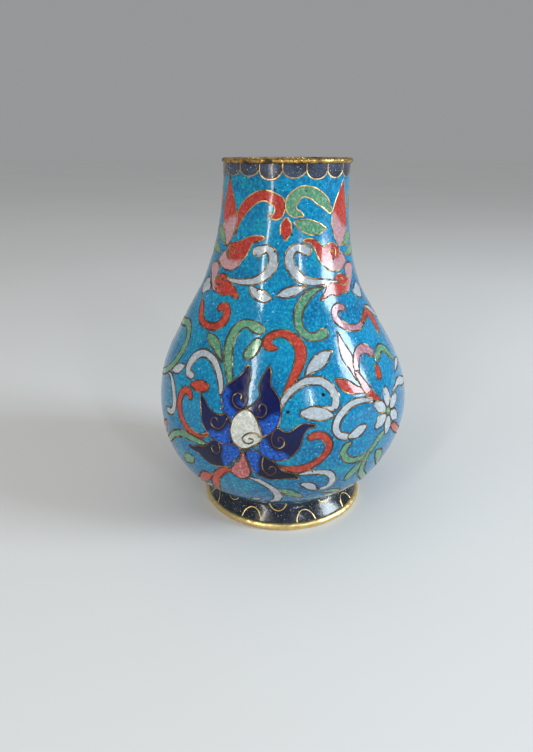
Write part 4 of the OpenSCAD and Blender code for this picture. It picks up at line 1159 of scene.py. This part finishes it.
def cell_groups(tris, labels):
    """Triangles by (piece, colour), those of the front half turn and those of the back one."""
    groups = {}
    for tri, label in zip(tris, labels):
        if label is None:
            continue
        for half in (0, 1):
            name, colour = "turquoise_ground", "turquoise"
            if label != "ground":
                motif, halves = label
                name, colour = motif.name(motif.fill, (halves + half) % 2 == 1), motif.colour
            groups.setdefault((name, colour), ([], []))[half].append(tri)
    return groups


def joined(flat, first, second):
    """Points of the whole turn, and the triangles over them with the points at the seams shared."""
    both = np.vstack([flat, flat + [180, 0]])
    parts = [np.array(first).reshape(-1, 3), np.array(second).reshape(-1, 3) + len(flat)]
    tris = np.vstack([p for p in parts if len(p)])
    keys = np.round(np.stack([np.round(both[:, 0], 3) % 360, both[:, 1]], -1), 3)
    _, first_at, same = np.unique(keys, axis=0, return_index=True, return_inverse=True)
    tris = first_at[same.ravel()[tris]]
    a, b, c = tris.T
    return both, tris[(a != b) & (b != c) & (a != c)]


def carry(obj, name, values):
    """Gives a cell's points a value for its shader, on the outer face and on the one behind it."""
    attribute = obj.data.attributes.new(name, "FLOAT", "POINT")
    attribute.data.foreach_set("value", np.concatenate([values, values]))


def enamel_cells():
    flat, tris, labels = cut_surface()
    for (name, colour), (first, second) in sorted(cell_groups(tris, labels).items()):
        points, faces = joined(flat, first, second)
        obj, turn, s = cell_solid(name + ".cells", points, faces, CELL_DEPTH, MATERIALS[colour])
        if colour == "lapis":
            carry(obj, "deep", petal_depth(turn, s))
        if name.endswith(("neck_red", "neck_pink")):
            carry(obj, "blush", blush(on_front(turn, s), colour))
            obj.data.materials[0] = MATERIALS["shaded"]
        place_piece(obj, name)


def wire_piece(name, strips, material):
    verts, faces = merged(strips)
    obj = add_mesh(name + ".strip", verts, faces, material)
    obj.data.set_sharp_from_angle(angle=math.radians(50))
    place_piece(obj, name)


def wires():
    for name, stretches in sorted(wire_paths().items()):
        wire_piece(name, [ribbon(path, loop) for path, loop in stretches], MATERIALS["wire"])


def inset_body(depth):
    """The body's profile moved inward, as (radius, height) from the waist up."""
    profile = BODY_CURVE[::5]
    step = np.gradient(profile, axis=0)
    step /= np.linalg.norm(step, axis=1, keepdims=True)
    return [(r - depth * dz, z + depth * dr) for (z, r), (dz, dr) in zip(profile, step)]


# The foot's face: straight under the body, then hollow, then out to the rim
FOOT_KEYS = [
    (WAIST_R, WAIST_Z), (WAIST_R + 0.2, WAIST_Z - 1.3),
    ((WAIST_R + RIM_R) / 2 - 0.4, (WAIST_Z + RIM_Z) / 2 - 0.6), (RIM_R - 0.6, RIM_Z - 0.5),
]
FOOT_CURVE = hermite(FOOT_KEYS, 8)


def foot_inset(depth):
    """The foot's profile moved inward, as (radius, height)."""
    return [(r - depth, z) for r, z in FOOT_CURVE]


def foot_skin(turn, height):
    """Points on the foot's enamel face at a height, and the ways straight out from there."""
    order = FOOT_CURVE[::-1]
    r = np.interp(height, order[:, 1], order[:, 0])
    angle = np.radians(turn)
    outward = np.stack([np.sin(angle), -np.cos(angle), 0 * angle], -1)
    return np.stack([r * np.sin(angle) + lean(height), -r * np.cos(angle), height], -1), outward


def soft_ripple(size, around, seed):
    """The slow waves of an enamel coat that was only partly ground flat."""
    def ripple(turn, r, z):
        angle = np.radians(turn)
        fine = 0.6 * np.sin((2 * around + 3) * angle + z * 2.1 + seed * 2)
        change = size * (np.sin(around * angle + seed) + fine)
        return change, change * 0
    return ripple


def hammered(seed, size):
    """Small irregular dents around a gilt edge."""
    local = np.random.default_rng(seed)
    bumps = [(local.integers(9, 70), local.uniform(0, 6.28), local.uniform(0.3, 1), local.uniform(-2, 2))
             for _ in range(14)]

    def ripple(turn, r, z):
        angle = np.radians(turn)
        dr = sum(w * np.sin(n * angle + p + z * k) for n, p, w, k in bumps) * size
        dz = sum(w * np.cos(n * angle + 2 * p + r * k) for n, p, w, k in bumps[::2]) * size * 0.6
        return dr, dz
    return ripple


def rounded(inner, outer, low, high, bulge, steps):
    """A closed (radius, height) loop with a round outer edge and eased inner corners."""
    eased = 0.25
    middle, half = (low + high) / 2, (high - low) / 2
    loop = [(outer - bulge + bulge * math.cos(a), middle + half * math.sin(a))
            for a in np.radians(np.linspace(-90, 90, 2 * steps + 1))]
    corner = np.radians(np.linspace(0, 90, 4))
    loop += [(inner + eased - eased * math.sin(a), high - eased + eased * math.cos(a)) for a in corner]
    loop += [(inner + eased - eased * math.cos(a), low + eased - eased * math.sin(a)) for a in corner]
    return loop


# Turned solids that close at the middle stop this far from the axis
CENTRE_R = 0.05
INSIDE_DEPTH = COPPER_DEPTH + COPPER_T
FLOOR_DEPTH = 0.8


def copper_body():
    floor = inset_body(FLOOR_DEPTH)[0][1]
    hollow = inset_body(INSIDE_DEPTH)
    loop = [(CENTRE_R, floor)] + inset_body(COPPER_DEPTH) + hollow[::-1] + [(CENTRE_R, hollow[0][1])]
    place_piece(lathe("copper_body.shell", loop, MATERIALS["copper"]), "copper_body")


def lining():
    hollow, glaze = inset_body(INSIDE_DEPTH), inset_body(INSIDE_DEPTH + LINING_T)
    loop = [(CENTRE_R, hollow[0][1])] + hollow + glaze[::-1] + [(CENTRE_R, glaze[0][1])]
    obj = lathe("lining_enamel.glaze", loop, MATERIALS["turquoise"], ripple=soft_ripple(0.05, 5, 1.2))
    place_piece(obj, "lining_enamel")


def foot_band():
    loop = foot_inset(0) + foot_inset(FOOT_ENAMEL_T)[::-1]
    obj = lathe("foot_band_enamel.band", loop, MATERIALS["foot"], ripple=soft_ripple(0.035, 6, 0.7))
    place_piece(obj, "foot_band_enamel")


def copper_foot():
    loop = foot_inset(FOOT_ENAMEL_T) + foot_inset(FOOT_ENAMEL_T + FOOT_COPPER_T)[::-1]
    obj = lathe("copper_foot.ring", loop, MATERIALS["copper"], ripple=soft_ripple(0.03, 6, 0.7))
    place_piece(obj, "copper_foot")


def base():
    """The counter-enamel under the vessel, which bellies a little and thins to its edge."""
    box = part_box("base_enamel")
    low, high, reach = box[0].z / MM, box[1].z / MM, box[1].x / MM
    loop = [(CENTRE_R, low + 0.15), (reach * 0.5, low + 0.08), (reach * 0.9, low), (reach, low - 0.2),
            (reach, high), (CENTRE_R, high)]
    obj = lathe("base_enamel.disc", loop, MATERIALS["turquoise"], ripple=soft_ripple(0.03, 4, 0.3))
    place_piece(obj, "base_enamel")


def lip():
    loop = rounded(LIP_HOLE_R, LIP_R, LIP_Z, TOP_Z, LIP_BULGE, 8)
    obj = lathe("lip_collar.gilt", loop, MATERIALS["lip"], 420, hammered(3, LIP_DENTS))
    place_piece(obj, "lip_collar")


def rim():
    loop = rounded(RIM_R - RIM_W, RIM_R, 0.0, RIM_Z, RIM_BULGE, 10)
    obj = lathe("foot_rim.gilt", loop, MATERIALS["rim"], 360, hammered(5, RIM_DENTS))
    place_piece(obj, "foot_rim")


def arch(turn, base_z, radius, rise):
    """One cloud arch on the foot; its rise is negative where it hangs."""
    per_degree = math.radians(1) * (WAIST_R + RIM_R) / 2
    angles = np.radians(np.linspace(-12, 192, 26))
    turns = turn + np.cos(angles) * radius / per_degree
    middle, outward = foot_skin(turns, base_z + rise * np.sin(angles) * radius)
    half = ARCH_WIRE_HALF * (1 + 0.12 * smooth_random(len(middle), 4))
    section = wire_section(ARCH_WIRE_SHOULDER, ARCH_WIRE_PROUD, ARCH_WIRE_DEPTH)
    return strip(middle, outward, half, section, False)


def foot_wires():
    """Cloud arches on the foot: every second one stands on the rim, the others hang from the body."""
    strips = []
    for k in range(ARCHES):
        size = 1 + 0.06 * math.sin(5 * k + 1)
        turn = k * 360 / ARCHES
        strips.append(arch(ARCH_TURN + turn, RIM_Z - 0.3, ARCH_R * size, ARCH_RISE))
        strips.append(arch(HUNG_TURN + turn, WAIST_Z - 0.1, HUNG_R * size, -HUNG_DROP))
    wire_piece("foot_band_wires", strips, MATERIALS["rim"])


for build in (enamel_cells, wires, copper_body, lining, foot_band, copper_foot, base, lip, rim, foot_wires):
    build()


# ---------------------------------------------------------------- stage, light and camera
FLOOR_REACH = 6000
FLOOR_TONES = ((0.60, 0.597, 0.59, 1), (0.63, 0.627, 0.62, 1))
# Lamps: (name, place in m, size in m, watts, colour); all but the fill show in the enamel as highlights
LAMPS = [
    ("strip", (-0.272, -0.52, 0.26), (0.028, 0.5), 1.5, (1, 0.96, 0.88)),
    ("gap", (0.285, -0.53, 0.27), (0.018, 0.16), 0.7, (0.92, 0.97, 1)),
    ("window", (0.60, -0.14, 0.27), (0.21, 0.28), 4.6, (0.80, 0.92, 1)),
    ("fill", (-0.85, -0.42, 0.45), (0.7, 0.7), 2.1, (1, 0.98, 0.90)),
]
SKY_SPREAD = 80
SKY_STRENGTH = 0.6
WORLD_COLOUR = (0.80, 0.82, 0.84, 1)
WORLD_STRENGTH = 0.38


def stage_floor():
    m = Shader("pale_floor")
    m.set(Base_Color=m.blend(m.level(m.noise(0.004, 3), 0.3, 0.7), *FLOOR_TONES), Roughness=0.75)
    corners = [(x * FLOOR_REACH, y * FLOOR_REACH, 0) for x, y in ((-1, -1), (1, -1), (1, 1), (-1, 1))]
    add_mesh("floor", corners, [(0, 1, 2, 3)], m.material)


def lamp(name, place, size, power, colour):
    """A rectangle of light that faces the middle of the vessel."""
    light = bpy.data.lights.new(name, "AREA")
    light.shape = "RECTANGLE"
    light.size, light.size_y = size
    light.energy = power
    light.color = colour
    obj = link(name, light)
    obj.location = place
    aim = Vector((0, 0, 0.5 * TOP_Z * MM)) - Vector(place)
    obj.rotation_euler = aim.to_track_quat("-Z", "Y").to_euler()
    obj.visible_glossy = name != "fill"


def sky():
    light = bpy.data.lights.new("sky", "SUN")
    light.angle = math.radians(SKY_SPREAD)
    light.energy = SKY_STRENGTH
    link("sky", light).visible_glossy = False
    world = bpy.data.worlds.new("studio")
    world.use_nodes = True
    background = world.node_tree.nodes["Background"].inputs
    background[0].default_value = WORLD_COLOUR
    background[1].default_value = WORLD_STRENGTH
    bpy.context.scene.world = world
    bpy.context.scene.view_settings.view_transform = "Standard"


# The camera stands close: place in m, lens in mm, and how many degrees it looks down and to the right
CAMERA_AT = (0.0, -0.1463, 0.0915)
CAMERA_LENS = 27.67
CAMERA_DOWN = 21.30
CAMERA_YAW = -1.64


def camera():
    data = bpy.data.cameras.new("camera")
    data.lens = CAMERA_LENS
    data.sensor_width = 36
    data.sensor_fit = "AUTO"
    data.clip_start = 0.005
    obj = link("camera", data)
    obj.location = CAMERA_AT
    down, yaw = math.radians(CAMERA_DOWN), math.radians(CAMERA_YAW)
    ahead = Vector((math.sin(yaw) * math.cos(down), math.cos(yaw) * math.cos(down), -math.sin(down)))
    obj.rotation_euler = ahead.to_track_quat("-Z", "Y").to_euler()
    bpy.context.scene.camera = obj


stage_floor()
for settings in LAMPS:
    lamp(*settings)
sky()
camera()
